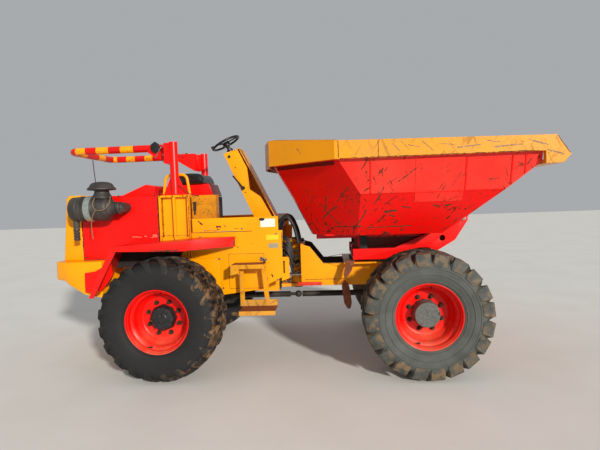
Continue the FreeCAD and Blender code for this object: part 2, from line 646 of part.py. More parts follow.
def make_engine_panels():
    """Side panels of the engine bay, each with its top lip and the bonnet's hinge ear."""
    low = "frame_high + deck_wall"
    angle = (
        ("panel_face", "weight_top"), ("panel_face", "panel_top"), ("panel_lip", "panel_top"),
        ("panel_lip", "panel_top - panel_wall"),
        ("panel_face - panel_wall", "panel_top - panel_wall"),
        ("panel_face - panel_wall", "weight_top"))
    panel = sheet_plate("engine_panel", "YZ_Plane", angle, "-panel_rear",
                        "panel_rear - panel_front")
    foot = block("panel_foot", "-weight_front", "-panel_front", "panel_face - panel_wall",
                 "panel_face", low, "weight_top")
    ear = block("hinge_ear_left", "-lid_front - ear_half", "-lid_front + ear_half", "ear_side",
                "ear_side + hinge_ear", "panel_top", "panel_top + 2 * ear_half")
    eye = rod("hinge_eye", "hinge_pin + pin_fit", "4 * hinge_ear", "-lid_front",
              "ear_side - hinge_ear", "panel_top + hinge_up", ALONG_Y)
    side = cut("engine_side", fuse("engine_side_whole", panel, foot, ear), eye)
    group("engine_side_panels", side, mirror(side))


def make_bonnet():
    """The lid over the engine, humped at its front, hollow below, with two hinge pins."""
    low = "panel_top + seat_gap"
    hump = (
        ("-lid_rear", low), ("-lid_rear", "lid_flat"), ("-lid_rise", "lid_flat"),
        ("-lid_peak_x", "lid_peak"), ("-lid_front", "lid_brow"), ("-lid_front", low))
    hollow = (
        ("-lid_rear + lid_wall", low), ("-lid_rear + lid_wall", "lid_flat - lid_wall"),
        ("-lid_rise", "lid_flat - lid_wall"), ("-lid_peak_x", "lid_peak - lid_wall"),
        ("-lid_front - lid_wall", "lid_brow - lid_wall"), ("-lid_front - lid_wall", low))
    body = new_body("lid_shell")
    pad(body, outline(body, "XZ_Plane", hump), "2 * lid_half", True)
    pocket(body, outline(body, "XZ_Plane", hollow), "2 * (lid_half - lid_wall)", True)
    pin = rod("lid_pin", "hinge_pin", "ear_side + 2 * hinge_ear - lid_half", "-lid_front",
              "lid_half - hinge_ear", "panel_top + hinge_up", ALONG_Y)
    finished(fuse("bonnet_lid", body, pin, mirror(pin)), "bonnet_lid")


def make_air_cleaner():
    """Canister in two bands beside the engine, with its neck, rain cap, valve and elbow."""
    side = "-cleaner_side"
    can = rod("canister", "cleaner_radius", "cleaner_rear - cleaner_front", "-cleaner_rear",
              side, "cleaner_height", ALONG_X)
    neck = rod("neck", "neck_radius", "neck_tall + 5", "-neck_x", side,
               "cleaner_height")
    brim = rod("brim", "cap_spread", "cap_brim", "-neck_x", side, NECK_TOP)
    dome = doc.addObject("Part::Cone", "dome")
    dome.setExpression("Radius1", tied("cap_spread - 12"))
    dome.setExpression("Radius2", tied("cap_spread / 2"))
    dome.setExpression("Height", tied("cap_dome"))
    place(dome, "-neck_x", side, NECK_TOP + " + cap_brim")
    valve = rod("valve", "valve_radius", "valve_drop", "-valve_x", side, VALVE_LOW)
    start = "-cleaner_front - 10"
    elbow = bent_tube("elbow", (
        (start, side, "cleaner_height"), ("-cleaner_front + elbow_run", side, "cleaner_height"),
        ("-cleaner_front + elbow_run", "-panel_face", "cleaner_height")),
        "elbow_radius", "elbow_radius + 10")
    made = [can, neck, brim, dome, valve, elbow]
    for x in ("-band_rear", "-band_front"):
        made.append(rod("band", "cleaner_radius + band_wall", "band_wide", x, side,
                        "cleaner_height", ALONG_X))
        made.append(block("band_foot", x, x + " + band_wide", "-cleaner_side", "-panel_face",
                          "cleaner_height - foot_wide / 2", "cleaner_height + foot_wide / 2"))
    finished(fuse("air_cleaner", *made), "air_cleaner")


def make_rops_supports():
    """Box columns under the posts, each with two tall recesses in its outer face."""
    body = new_body("rib_column")
    front = "-rib_front"
    rear = "-panel_front"
    low = "frame_high + deck_wall"
    points = ((rear, low), (rear, "rib_top"), (front, "rib_top"), (front, low))
    pad(body, outline(body, "XZ_Plane", points, "rib_in"), "rib_out - rib_in")
    width = "((panel_front - rib_front - 3 * rib_edge) / 2)"
    for k in (0, 1):
        start = "%s + rib_edge + %d * (%s + rib_edge)" % (rear, k, width)
        recess = (
            (start, "rib_low"), (start, "rib_top - rib_edge"),
            (start + " + " + width, "rib_top - rib_edge"), (start + " + " + width, "rib_low"))
        pocket(body, outline(body, "XZ_Plane", recess, "rib_out"), "rib_recess")
    group("rops_supports", body, mirror(body))


def make_rops_posts():
    """Posts with foot plates and gussets, and the bolted brackets that hold the folding bar."""
    x = "-post_x"
    side = "-post_side"
    foot = "rib_top + post_foot"
    made = [
        rod("post", "post_radius", POST_TOP + " - rib_top", x, side, "rib_top"),
        block("foot", "-post_x - 130", "-post_x + 130", side + " - 50", side + " + 42",
              "rib_top", foot)]
    for way in ("1", "-1"):
        base = "%s + %s * (post_radius - 4)" % (x, way)
        points = (
            (base, foot), (base, foot + " + gusset_tall"),
            ("%s + %s * gusset_reach" % (base, way), foot))
        made.append(sheet_plate("gusset", "XZ_Plane", points, "post_side - gusset_wall / 2",
                                "gusset_wall"))
    made.append(block("stub", "-flange_x", x, side + " - 30", side + " + 30", FLANGE_LOW,
                      FLANGE_HIGH))
    made.append(block("flange", "-flange_x - flange_wall", "-flange_x", "-flange_out",
                      "-(hoop_half - hoop_tube - ear_gap - ear_wall)", FLANGE_LOW,
                      FLANGE_HIGH))
    for side_in in ("hoop_half + hoop_tube + ear_gap",
                    "hoop_half - hoop_tube - ear_gap - ear_wall"):
        arm = sheet_plate("ear", "XZ_Plane", (
            ("-flange_x - flange_wall", FLANGE_LOW), ("-flange_x - flange_wall", FLANGE_HIGH),
            ("-fold_x", "fold_z + ear_radius - 24"), ("-fold_x - ear_radius", "fold_z"),
            ("-fold_x - ear_reach", "fold_z - ear_drop")), side_in, "ear_wall")
        made.append(arm)
    whole = fuse("post_whole", *made)
    eye = rod("fold_eye", "fold_pin + pin_fit", "hoop_half", "-fold_x",
              "-(hoop_half + 3 * ear_wall + hoop_tube)", "fold_z", ALONG_Y)
    post = cut("post_right", whole, eye)
    group("rops_posts", post, mirror(post))


def make_hoop():
    """The roll bar's folding hoop, lying back over the bonnet, with its hinge pins."""
    end = "-fold_x + hoop_end"
    hoop = bent_tube("hoop", (
        (end, "-hoop_half", "fold_z"), ("-hoop_rear + hoop_tube", "-hoop_half", "fold_z"),
        ("-hoop_rear + hoop_tube", "hoop_half", "fold_z"), (end, "hoop_half", "fold_z")),
        "hoop_tube", "hoop_bend")
    reach = "2 * (hoop_tube + ear_gap + ear_wall) + 30"
    pins = []
    for side in ("-hoop_half - hoop_tube - ear_gap - ear_wall - 15",
                 "hoop_half - hoop_tube - ear_gap - ear_wall - 15"):
        pins.append(rod("fold_pin", "fold_pin", reach, "-fold_x", side, "fold_z", ALONG_Y))
    face = "(hoop_half + hoop_tube + ear_gap + ear_wall + seat_gap)"
    for start in (face, "-%s - fold_head_wall" % face):
        head = doc.addObject("Part::Prism", "fold_head")
        head.Polygon = 6
        head.setExpression("Circumradius", tied("fold_head"))
        head.setExpression("Height", tied("fold_head_wall"))
        pins.append(place(head, "-fold_x", start, "fold_z", *ALONG_Y))
    finished(fuse("rops_hoop", hoop, *pins), "rops_hoop")


def make_grab_rails():
    """A bent rail on each side, over the roll bar's columns."""
    low = "rib_top - rail_tube"
    tube = bent_tube("rail_tube", (
        ("-rail_rear", "-rail_side", low), ("-rail_rear + rail_lean", "-rail_side", "rail_top"),
        ("-rail_front - rail_lean", "-rail_side", "rail_top + 8"),
        ("-rail_front", "-rail_side", low)), "rail_tube", "rail_bend")
    below = block("rail_seat", "-2 * rail_rear", "0", "-2 * rail_side", "0", "rail_rear", "rib_top")
    rail = cut("rail", tube, below)
    group("grab_rails", rail, mirror(rail))


def make_mudguards():
    """Folded guards over the rear wheels: top, sloping tail and a turned-down outer lip."""
    skin = (
        ("-guard_front", "guard_top"), ("-guard_rear", "guard_back"),
        ("-guard_tail", "guard_tail_z"), ("-guard_tail + guard_wall", "guard_tail_z"),
        ("-guard_rear + guard_wall", "guard_back - guard_wall"),
        ("-guard_front", "guard_top - guard_wall"))
    top = sheet_plate("guard_skin", "XZ_Plane", skin, "rib_out", "guard_out - rib_out")
    lip = (
        ("-guard_front", "guard_top"), ("-guard_rear", "guard_back"),
        ("-guard_tail", "guard_tail_z"), ("-guard_tail + guard_edge", "guard_tail_z"),
        ("-guard_rear + guard_edge", "guard_back - guard_edge"),
        ("-guard_knee", "guard_top - guard_lip - guard_sag"),
        ("-guard_front", "guard_top - guard_lip"))
    edge = sheet_plate("guard_edge", "XZ_Plane", lip, "guard_out - guard_wall", "guard_wall")
    rise = "(guard_top - guard_back) / (guard_rear - guard_front)"
    back = "guard_top - (sill_rear - 10 - guard_front) * " + rise
    strip = (
        ("-guard_front", "guard_top"), ("-sill_rear + 10", back),
        ("-sill_rear + 10", back + " - guard_wall"), ("-guard_front", "guard_top - guard_wall"))
    front = sheet_plate("guard_foot", "XZ_Plane", strip, "side_face", "rib_out - side_face")
    guard = fuse("guard_whole", top, edge, front)
    room = block("weight_room", "-weight_rear", "-weight_front + run_gap",
                 "-weight_half - run_gap", "-rib_in", "weight_toe - run_gap", "weight_top")
    guard = cut("guard_right", guard, room)
    group("mudguards", guard, mirror(guard))


def make_seat():
    """The housing under the driver, the seat's box and the low cushioned seat."""
    low = "frame_high + deck_wall"
    housing = block("platform", "-panel_front", "-platform_front", "-platform_half",
                    "platform_half", low, "platform_top")
    room = block("engine_room", "-panel_front - 10", "-%s + 12" % ENGINE_FRONT, "-engine_half - 20",
                 "engine_half + 20", low + " - 10", "engine_high + 20")
    finished(cut("seat_platform", housing, room), "seat_platform")
    box = (
        ("-box_rear", "platform_top"), ("-box_rear", "seat_low"), ("-box_front", "seat_low"),
        ("-box_front + box_lean", "platform_top"))
    finished(sheet_plate("seat_box", "XZ_Plane", box, "0", "2 * box_half", True), "seat_box")
    shape = (
        ("-seat_rear", "seat_low + 20"), ("-seat_rear + 14", "seat_high + 42"),
        ("-seat_rear + 60", "seat_high + 34"), ("-seat_rear + 90", "seat_high"),
        ("-seat_front - 20", "seat_high - 24"), ("-seat_front", "seat_low + 26"),
        ("-seat_front - 22", "seat_low"), ("-seat_rear + 26", "seat_low"))
    finished(sheet_plate("seat", "XZ_Plane", shape, "0", "2 * seat_half", True), "seat")


def make_tool_box():
    """An open box beside the seat housing, on the right only, and its hinged lid."""
    rear = "-tool_rear"
    front = "-tool_front"
    inside = "platform_half"
    outer = block("tool_box_outer", rear, front, "-side_face", "-" + inside, "sill_top",
                  "tool_lid")
    room = block("tool_box_room", rear + " + tool_wall", front + " - tool_wall",
                 "-side_face + tool_wall", "-%s - tool_wall" % inside, "sill_top + tool_wall",
                 "tool_lid + 10")
    shell = cut("tool_box_shell", outer, room)
    finished(shell, "tool_box")
    low = "tool_lid + seat_gap"
    cover = block("lid_outer", rear, front, "-side_face", "-%s - seat_gap" % inside, low,
                  "tool_top")
    hollow = block("lid_room", rear + " + tool_wall", front + " - tool_wall",
                   "-side_face + tool_wall", "-%s - tool_wall - seat_gap" % inside,
                   low + " - 10", "tool_top - tool_wall")
    knuckle = rod("lid_knuckle", "knuckle_radius", "tool_rear - tool_front", rear,
                  "-(%s + seat_gap + knuckle_radius)" % inside, "tool_top", ALONG_X)
    lid = fuse("lid_right_shell", cut("lid_open", cover, hollow), knuckle)
    finished(lid, "tool_lid_right")


def make_side_panels():
    """Sill beams and lower side panels of the footwell."""
    sill = (("-sill_rear", "sill_low"), ("-sill_rear", "sill_top"), ("-sill_front", "sill_top"),
            ("-sill_front", "sill_low"))
    beam = sheet_plate("sill", "XZ_Plane", sill, "side_face - sill_wall", "sill_wall")
    shelf = block("sill_shelf", "-sill_rear", "-tool_front", "-side_face", "-platform_half",
                  "sill_top - sill_wall", "sill_top")
    skirt = (
        ("-skirt_rear", "sill_low"), ("-skirt_front", "sill_low"),
        ("-skirt_toe", "skirt_toe_z"), ("-skirt_knee", "skirt_knee_z"),
        ("-skirt_heel", "skirt_heel_z"), ("-skirt_rear", "skirt_rear_z"))
    lower = sheet_plate("skirt", "XZ_Plane", skirt, "side_face - sill_wall", "sill_wall")
    rear = (("-sill_rear", "frame_high"), ("-sill_rear", "sill_low"), ("-skirt_rear", "sill_low"),
            ("-skirt_rear", "frame_high"))
    web = sheet_plate("web", "XZ_Plane", rear, "side_face - sill_wall", "sill_wall")
    side = fuse("side_right", beam, shelf, lower, web)
    group("side_panels", side, mirror(side))


def make_floor():
    """The footwell's floor, its front wall and the step up to the seat housing."""
    half = "(side_face - sill_wall)"
    made = [
        block("floor", "-platform_front", "-floor_front", "-" + half, half, "sill_low",
              "sill_low + floor_wall"),
        block("floor_wall_front", "-floor_front - sill_wall", "-floor_front", "-platform_half",
              "platform_half", "sill_low", "sill_top")]
    finished(fuse("footwell_floor", *made), "footwell_floor")


LEAN = ((0, -1, 0), "wheel_lean")


def make_console():
    """The leaning steering pillar of folded plate, its right side notched behind the front."""
    low = "sill_low + floor_wall"
    points = (
        ("-console_base_rear", low), ("-console_top_rear", "console_top_rear_z"),
        ("-console_top_front", "console_top_front_z"),
        ("-console_base_front", "console_front_z"), ("-console_base_front", low))
    pillar = sheet_plate("pillar", "XZ_Plane", points, "0", "2 * console_half", True)
    fold = "1.1 * console_wall"
    inner = (
        ("-console_base_rear + " + fold, low + " - 1"),
        ("-console_top_rear + 1.2 * " + fold, "console_top_rear_z - console_wall"),
        ("-console_top_front - " + fold, "console_top_front_z - 1.3 * console_wall"),
        ("-console_base_front - " + fold, "console_front_z - console_wall / 3"),
        ("-console_base_front - " + fold, low + " - 1"))
    room = sheet_plate("pillar_room", "XZ_Plane", inner, "0",
                       "2 * (console_half - console_wall)", True)
    notch = (
        ("-notch_top", "console_top_rear_z + 2 * console_wall"), ("-notch_neck", "notch_neck_z"),
        ("-notch_back", "notch_back_z"), ("-notch_step", "notch_step_z"),
        ("-notch_low", "notch_low_z"),
        ("-console_base_front - " + fold, "console_front_z"),
        ("-console_top_front - " + fold, "console_top_rear_z + 4 * console_wall"))
    gap = sheet_plate("pillar_notch", "XZ_Plane", notch, "console_half - console_wall",
                      "2 * console_wall")
    boss = rod("column_boss", "boss_radius", "boss_long",
               "-wheel_x + boss_drop * sin(wheel_lean * 1 deg)", "0",
               "wheel_z - boss_drop * cos(wheel_lean * 1 deg)", LEAN)
    shell = cut("pillar_open", cut("pillar_hollow", pillar, room), gap)
    finished(fuse("console", shell, boss), "console")


def make_steering_wheel():
    """Ring, three spokes, hub and spinner knob, on a column that leans back."""
    turns = ["(%d * 360 deg / %d)" % (k, RING_SIDES) for k in range(RING_SIDES)]
    ring = new_body("ring")
    revolve(ring, [("wheel_ring + wheel_tube * cos" + turn, "wheel_tube * sin" + turn)
                   for turn in turns])
    place(ring, axis=(1, 0, 0), turn="90")
    hub = rod("wheel_hub", "wheel_hub", "wheel_hub_tall", "0", "0", "-wheel_hub_tall + 10")
    knob = rod("knob", "knob_radius", "knob_tall", "-wheel_ring", "0", "0")
    column = rod("column", "column_radius", "boss_drop - boss_long - seat_gap", "0", "0",
                 "-(boss_drop - boss_long - seat_gap)")
    spokes = []
    for angle in ("0", "120", "240"):
        spoke = doc.addObject("Part::Cylinder", "spoke")
        spoke.setExpression("Radius", tied("spoke_radius"))
        spoke.setExpression("Height", tied("wheel_ring"))
        turned = FreeCAD.Rotation(FreeCAD.Vector(0, 0, 1), float(angle))
        turned = turned.multiply(FreeCAD.Rotation(FreeCAD.Vector(0, 1, 0), 90))
        spoke.Placement = FreeCAD.Placement(FreeCAD.Vector(), turned)
        spokes.append(spoke)
    wheel = fuse("steering_wheel", ring, hub, knob, column, *spokes)
    place(wheel, "-wheel_x", "0", "wheel_z", LEAN[0], LEAN[1])
    finished(wheel, "steering_wheel")


def make_controls():
    """The lever beside the pillar and two pedals on the floor."""
    base = rod("lever_base", "lever_knob", "lever_side - console_half", "-lever_x",
               "-lever_side", "lever_z", ALONG_Y)
    stick = doc.addObject("Part::Cylinder", "lever")
    stick.setExpression("Radius", tied("lever_radius"))
    stick.setExpression("Height", tied("lever_long"))
    place(stick, "-lever_x", "-lever_side + lever_radius", "lever_z", (0, -1, 0), "lever_lean")
    made = [fuse("lever_right", base, stick)]
    floor = "sill_low + floor_wall"
    for side in ("-pedal_side", "pedal_side"):
        plate = (
            ("-pedal_x", floor), ("-pedal_x + pedal_wall", floor),
            ("-pedal_x + pedal_wall + pedal_long * 0.55", floor + " + pedal_long * 0.8"),
            ("-pedal_x + pedal_long * 0.55", floor + " + pedal_long * 0.8"))
        made.append(sheet_plate("pedal", "XZ_Plane", plate, "(%s) - pedal_wide / 2" % side,
                                "pedal_wide"))
    group("controls", *made)


def make_steps():
    """A hung lower step and an upper tread on each side."""
    back = "-" + STEP_REAR
    front = "-step_front"
    made = [
        block("lower_tread", back, front, "-step_out", "-step_in", "step_z - step_wall", "step_z"),
        block("lower_lip", back, front, "-step_out", "-step_out + step_wall", "step_z - step_lip",
              "step_z"),
        block("lower_back", back, front, "-step_in - step_wall", "-step_in",
              "step_z - step_wall", "step_z + step_back"),
        block("upper_tread", back + " - 90", "-tread_front", "-tread_out", "-side_face",
              "tread_z - step_wall", "tread_z"),
        block("upper_lip", back + " - 90", "-tread_front", "-tread_out",
              "-tread_out + step_wall", "tread_z - step_lip", "tread_z")]
    for top, low in (("strap_rear_x", "strap_rear_x"), ("strap_front_x + 35", "strap_front_x")):
        points = (
            ("-(%s)" % low, "step_z"), ("-(%s) - strap_wide" % low, "step_z"),
            ("-(%s) - strap_wide" % top, "tread_z - step_wall"), ("-(%s)" % top, "tread_z - step_wall"))
        made.append(sheet_plate("strap", "XZ_Plane", points, "step_in", "strap_wall"))
    steps = fuse("steps_right", *made)
    group("steps", steps, mirror(steps))


# Front chassis

def make_front_frame():
    """Side plates, top plate and the tower with the steering pivot's tube."""
    rear = "tower_x"
    plates = side_plates("nose_plate", (
        (rear, "nose_low"), (rear, "pivot_high - pivot_gap"),
        (rear + " + 100", "pivot_high - pivot_gap - 30"), ("brace_x", "nose_high"),
        ("nose_front", "nose_high"), ("nose_front", "nose_low")),
        "tower_half - frame_wall", "frame_wall")
    top = block("top_plate", "top_rear", "top_front", "-top_half", "top_half", "nose_high",
                "nose_high + top_wall")
    tower = block("tower", rear, rear + " + tower_wall", "-tower_half", "tower_half",
                  "nose_low", "pivot_high - pivot_gap")
    window = block("tower_window", rear + " - 10", rear + " + 2 * tower_wall",
                   "-tower_half + frame_wall", "-tower_window", "window_low", "window_high")
    tower = cut("tower_open", tower, fuse("tower_windows", window, mirror(window)))
    front = block("nose_cross", "nose_front - frame_wall", "nose_front", "-tower_half",
                  "tower_half", "nose_low", "nose_high")
    tube = rod("pivot_tube", "pivot_tube", "pivot_high - pivot_low - 2 * pivot_gap", "0", "0",
               "pivot_low + pivot_gap")
    web = block("tube_web", "0", rear + " + 5", "-rib_half", "rib_half",
                "pivot_low + pivot_gap", "pivot_high - pivot_gap")
    bore = rod("tube_bore", "pivot_pin + pin_fit", "2 * pivot_high", "0", "0", "0")
    ears = []
    for face in ("-steer_eye_half - steer_ear_gap - steer_ear", "steer_eye_half + steer_ear_gap"):
        low = "steer_z + (%s)" % face
        ears.append(block("nose_ear", "steer_eye_x - 35", "steer_eye_x + 35",
                          "-tower_half + frame_wall", "-steer_side + 35", low,
                          low + " + steer_ear"))
    saddles = axle_saddles("front_saddle", "axle_spacing / 2", "tower_half - frame_wall",
                           "tyre_radius + axle_tube - pad_bite", "nose_low + pad_rise / 2")
    whole = fuse("front_frame_whole", *plates, top, tower, front, tube, web, *ears, *saddles)
    finished(cut("front_frame", whole, bore), "front_frame")


def make_slew_ring():
    """The turntable's fixed ring, bolted to the top plate."""
    body = new_body("slew_ring")
    pad(body, circle(body, "XY_Plane", "slew_x", "0", "slew_out", "nose_high + top_wall"),
        "slew_tall")
    pocket(body, circle(body, "XY_Plane", "slew_x", "0", "slew_in",
                        "nose_high + top_wall + slew_tall"), "slew_tall")
    finished(body, "slew_ring")


def make_shafts():
    """The propeller shaft, in two halves that meet at the steering pivot."""
    rear = fuse(
        "rear_propshaft",
        rod("rear_tube", "shaft_radius", GEARBOX_FRONT + " - neck_long", "-" + GEARBOX_FRONT, "0",
            "shaft_z", ALONG_X),
        rod("rear_neck", "neck_thin", "neck_long", "-neck_long", "0", "shaft_z", ALONG_X),
        ball("joint", "joint_ball", "0", "0", "shaft_z"))
    finished(rear, "rear_propshaft")
    length = "axle_spacing / 2 - diff_radius - joint_gap + 6"
    shaft = rod("front_tube", "shaft_radius", length, "joint_gap", "0", "shaft_z", ALONG_X)
    room = rod("diff_room", "diff_radius + seat_gap", "2 * diff_wide", "axle_spacing / 2",
               "-diff_wide", "tyre_radius", ALONG_Y)
    finished(cut("front_propshaft", shaft, room), "front_propshaft")


def make_hoses():
    """Three hydraulic hoses that hang in a loop from the bulkhead to the tower."""
    made = []
    for k in (0, 1, 2):
        side = "hose_side + %d * hose_step" % k
        made.append(bent_tube("hose_%d" % k, (
            ("-frame_front", side, "hose_high"), ("-frame_front / 2", side, "hose_high"),
            ("-tower_x / 2", side, "hose_low + 40"), ("tower_x / 3", side, "hose_low"),
            ("tower_x", side, "hose_low")), "hose_radius", "hose_radius * 2"))
    group("hoses", *made)


def make_flap():
    """A torn strap that hangs from the top plate's near edge."""
    hook = block("flap_hook", "flap_x", "flap_x + flap_wide", "-" + FLAP_SIDE, "-top_half",
                 "nose_high", "nose_high + top_wall")
    strap = block("flap_strap", "flap_x", "flap_x + flap_wide", "-%s - flap_wall" % FLAP_SIDE,
                  "-" + FLAP_SIDE, "flap_low", "nose_high + top_wall")
    finished(fuse("hanging_strap", hook, strap), "hanging_strap")


# Swivel frame and tipping gear

def make_swivel_frame():
    """Turntable plate with two arms that rise to the tipping pins."""
    low = "nose_high + top_wall + slew_tall + slew_gap"
    base = block("turn_base", "base_rear", "base_front", "-base_half + arm_wall",
                 "base_half - arm_wall", low, low + " + base_wall")
    points = (
        ("base_rear", low), ("base_rear", "arm_top"), ("arm_bend", "arm_top"),
        ("arm_rise_x", "arm_rise_z"), ("skip_nose_floor", "arm_rise_z + 8"),
        ("tip_x - tip_end * 0.7", "tip_z + tip_end * 0.7"), ("tip_x", "tip_z + tip_end"),
        ("tip_x + tip_end * 0.8", "tip_z + tip_end * 0.3"),
        ("tip_x + tip_end * 0.8", "tip_z - tip_end * 0.4"),
        ("arm_knee_x", "arm_knee_z"), ("arch_front", "arch_foot"), ("arch_mid + 75", "arch_top"),
        ("arch_mid", "arch_top"), ("arch_rear", "arch_z"), ("arm_bend", "arm_low"),
        ("base_front - 400", low))
    arms = side_plates("arm", points, "base_half - arm_wall", "arm_wall")
    cross = rod("cross_tube", "cross_radius", "2 * (base_half - arm_wall)", "cross_x",
                "-base_half + arm_wall", "cross_z", ALONG_Y)
    top = "skip_floor_z - beam_tall"
    stops = []
    for side in ("1", "-1"):
        middle = side + " * beam_side"
        stops.append(block("stop", "stop_x - stop_long / 2", "stop_x + stop_long / 2",
                           middle + " - stop_wide / 2", middle + " + stop_wide / 2",
                           low + " + base_wall", top + " - seat_gap"))
    ears = []
    for side in ("1", "-1"):
        near = side + " * (ram_radius + ram_ear_gap + ram_ear / 2)"
        ears.append(block("ram_ear", "ram_x - ram_ear_half", "ram_x + ram_ear_half",
                          near + " - ram_ear / 2", near + " + ram_ear / 2",
                          low + " + base_wall", "ram_z + ram_ear_rise"))
    whole = fuse("swivel_whole", base, *arms, cross, *stops, *ears)
    eye = rod("tip_eye", "tip_pin + pin_fit", "4 * base_half", "tip_x", "-2 * base_half", "tip_z",
              ALONG_Y)
    tie = rod("tie_hole", "tie_radius", "4 * base_half", "tie_x", "-2 * base_half", "tie_z",
              ALONG_Y)
    bore = rod("ram_bore", "ram_pin + pin_fit", "4 * ram_radius", "ram_x", "-2 * ram_radius",
               "ram_z", ALONG_Y)
    finished(cut("swivel_frame", whole, fuse("arm_holes", eye, tie, bore)), "swivel_frame")


def skip_plan(level, out, nose):
    """Eight corners of the skip at one level, moved out by a distance, with its own nose."""
    rear, back, turn_x, turn, corner, half = level
    near = [
        ("%s - (%s)" % (rear, out), "%s + 0.087 * (%s)" % (back, out)),
        ("%s - 0.922 * (%s)" % (turn_x, out), "%s + 0.529 * (%s)" % (turn, out)),
        ("%s - 0.367 * (%s)" % (corner, out), "%s + (%s)" % (half, out)),
        (nose, "%s + (%s)" % (half, out))]
    far = [(x, y) for x, y in reversed(near)]
    return [(x, "-(%s)" % y) for x, y in near] + far


FLOOR = ("skip_rear_floor", "skip_back_floor", "skip_rear_floor + skip_turn_in",
         "skip_turn_floor", "skip_corner_floor", "skip_half_floor")
CREASE = ("skip_rear_crease", "skip_back_crease", "skip_rear_crease + skip_turn_in",
          "skip_turn_crease", "skip_corner_crease", "skip_half_crease")
MOUTH = ("skip_rear_top", "skip_back_top", "skip_rear_top + skip_turn_in", "skip_turn_top",
         "skip_corner_top", "skip_half_top")


def ruled(body, sections):
    """Flat-sided loft through outlines that all have the same corners."""
    loft = body.newObject("PartDesign::AdditiveLoft", body.Name + "_loft")
    loft.Profile = sections[0]
    loft.Sections = sections[1:]
    loft.Ruled = True
    return loft


def make_skip():
    """The faceted skip, hollow with one sheet thickness, and the beams and lugs below it."""
    levels = ((FLOOR, "skip_floor_z", "skip_nose_floor"),
              (CREASE, "skip_crease_z", "skip_nose_crease"),
              (MOUTH, "skip_top_z", "skip_nose_top"))
    body = new_body("skip_outer")
    ruled(body, [outline(body, "XY_Plane", skip_plan(level, "0", nose), height)
                 for level, height, nose in levels])
    hollow = new_body("skip_hollow")
    lifts = ("skip_wall", "0", "1")
    ruled(hollow, [
        outline(hollow, "XY_Plane",
                skip_plan(level, "-1.2 * skip_wall", nose + " - 1.65 * skip_wall"),
                "%s + %s" % (height, lift))
        for (level, height, nose), lift in zip(levels, lifts)])
    nose_room = block("nose_room", "skip_lip_x", "rim_nose + 100", "-2 * skip_half_top",
                      "2 * skip_half_top", "skip_crease_z", "2 * skip_top_z")
    shell = cut("skip_shell_open", cut("skip_shell_mouth", body, hollow), nose_room)
    made = [shell]
    for side in ("1", "-1"):
        middle = side + " * beam_side"
        made.append(block("beam", "beam_rear", "beam_front", middle + " - beam_half",
                          middle + " + beam_half", "skip_floor_z - beam_tall", "skip_floor_z"))
    slope = "(skip_crease_z - skip_floor_z) / (skip_nose_crease - skip_nose_floor)"
    for side in ("beam_side + beam_half + 6", "-(beam_side + beam_half + 6) - lug_wall"):
        points = (
            ("tip_x - 150", "skip_floor_z + (tip_x - 150 - skip_nose_floor) * " + slope),
            ("tip_x + 150", "skip_floor_z + (tip_x + 150 - skip_nose_floor) * " + slope),
            ("tip_x + tip_end * 0.7", "tip_z - tip_end * 0.6"), ("tip_x", "tip_z - tip_end"),
            ("tip_x - tip_end * 0.7", "tip_z - tip_end * 0.6"))
        made.append(sheet_plate("tip_lug", "XZ_Plane", points, side, "lug_wall"))
    for side in ("ram_eye_half + ram_ear_gap", "-(ram_eye_half + ram_ear_gap) - ram_ear"):
        points = (
            ("ram_eye_x - 60", "skip_floor_z"), ("ram_eye_x + 60", "skip_floor_z"),
            ("ram_eye_x + 28", "ram_eye_z - 24"), ("ram_eye_x - 28", "ram_eye_z - 24"))
        made.append(sheet_plate("ram_lug", "XZ_Plane", points, side, "ram_ear"))
    whole = fuse("skip_whole", *made)
    eye = rod("lug_eye", "tip_pin + pin_fit", "4 * base_half", "tip_x", "-2 * base_half", "tip_z",
              ALONG_Y)
    finished(cut("skip_shell", whole, eye), "skip_shell")


def make_tipping_pins():
    """Two short pins on one line, through the arms and the skip's lugs."""
    reach = "base_half - beam_side - beam_half + 20"
    pins = []
    for side in ("-base_half - 15", "beam_side + beam_half - 5"):
        pins.append(rod("tip_pin", "tip_pin", reach, "tip_x", side, "tip_z", ALONG_Y))
    group("tipping_pins", *pins)


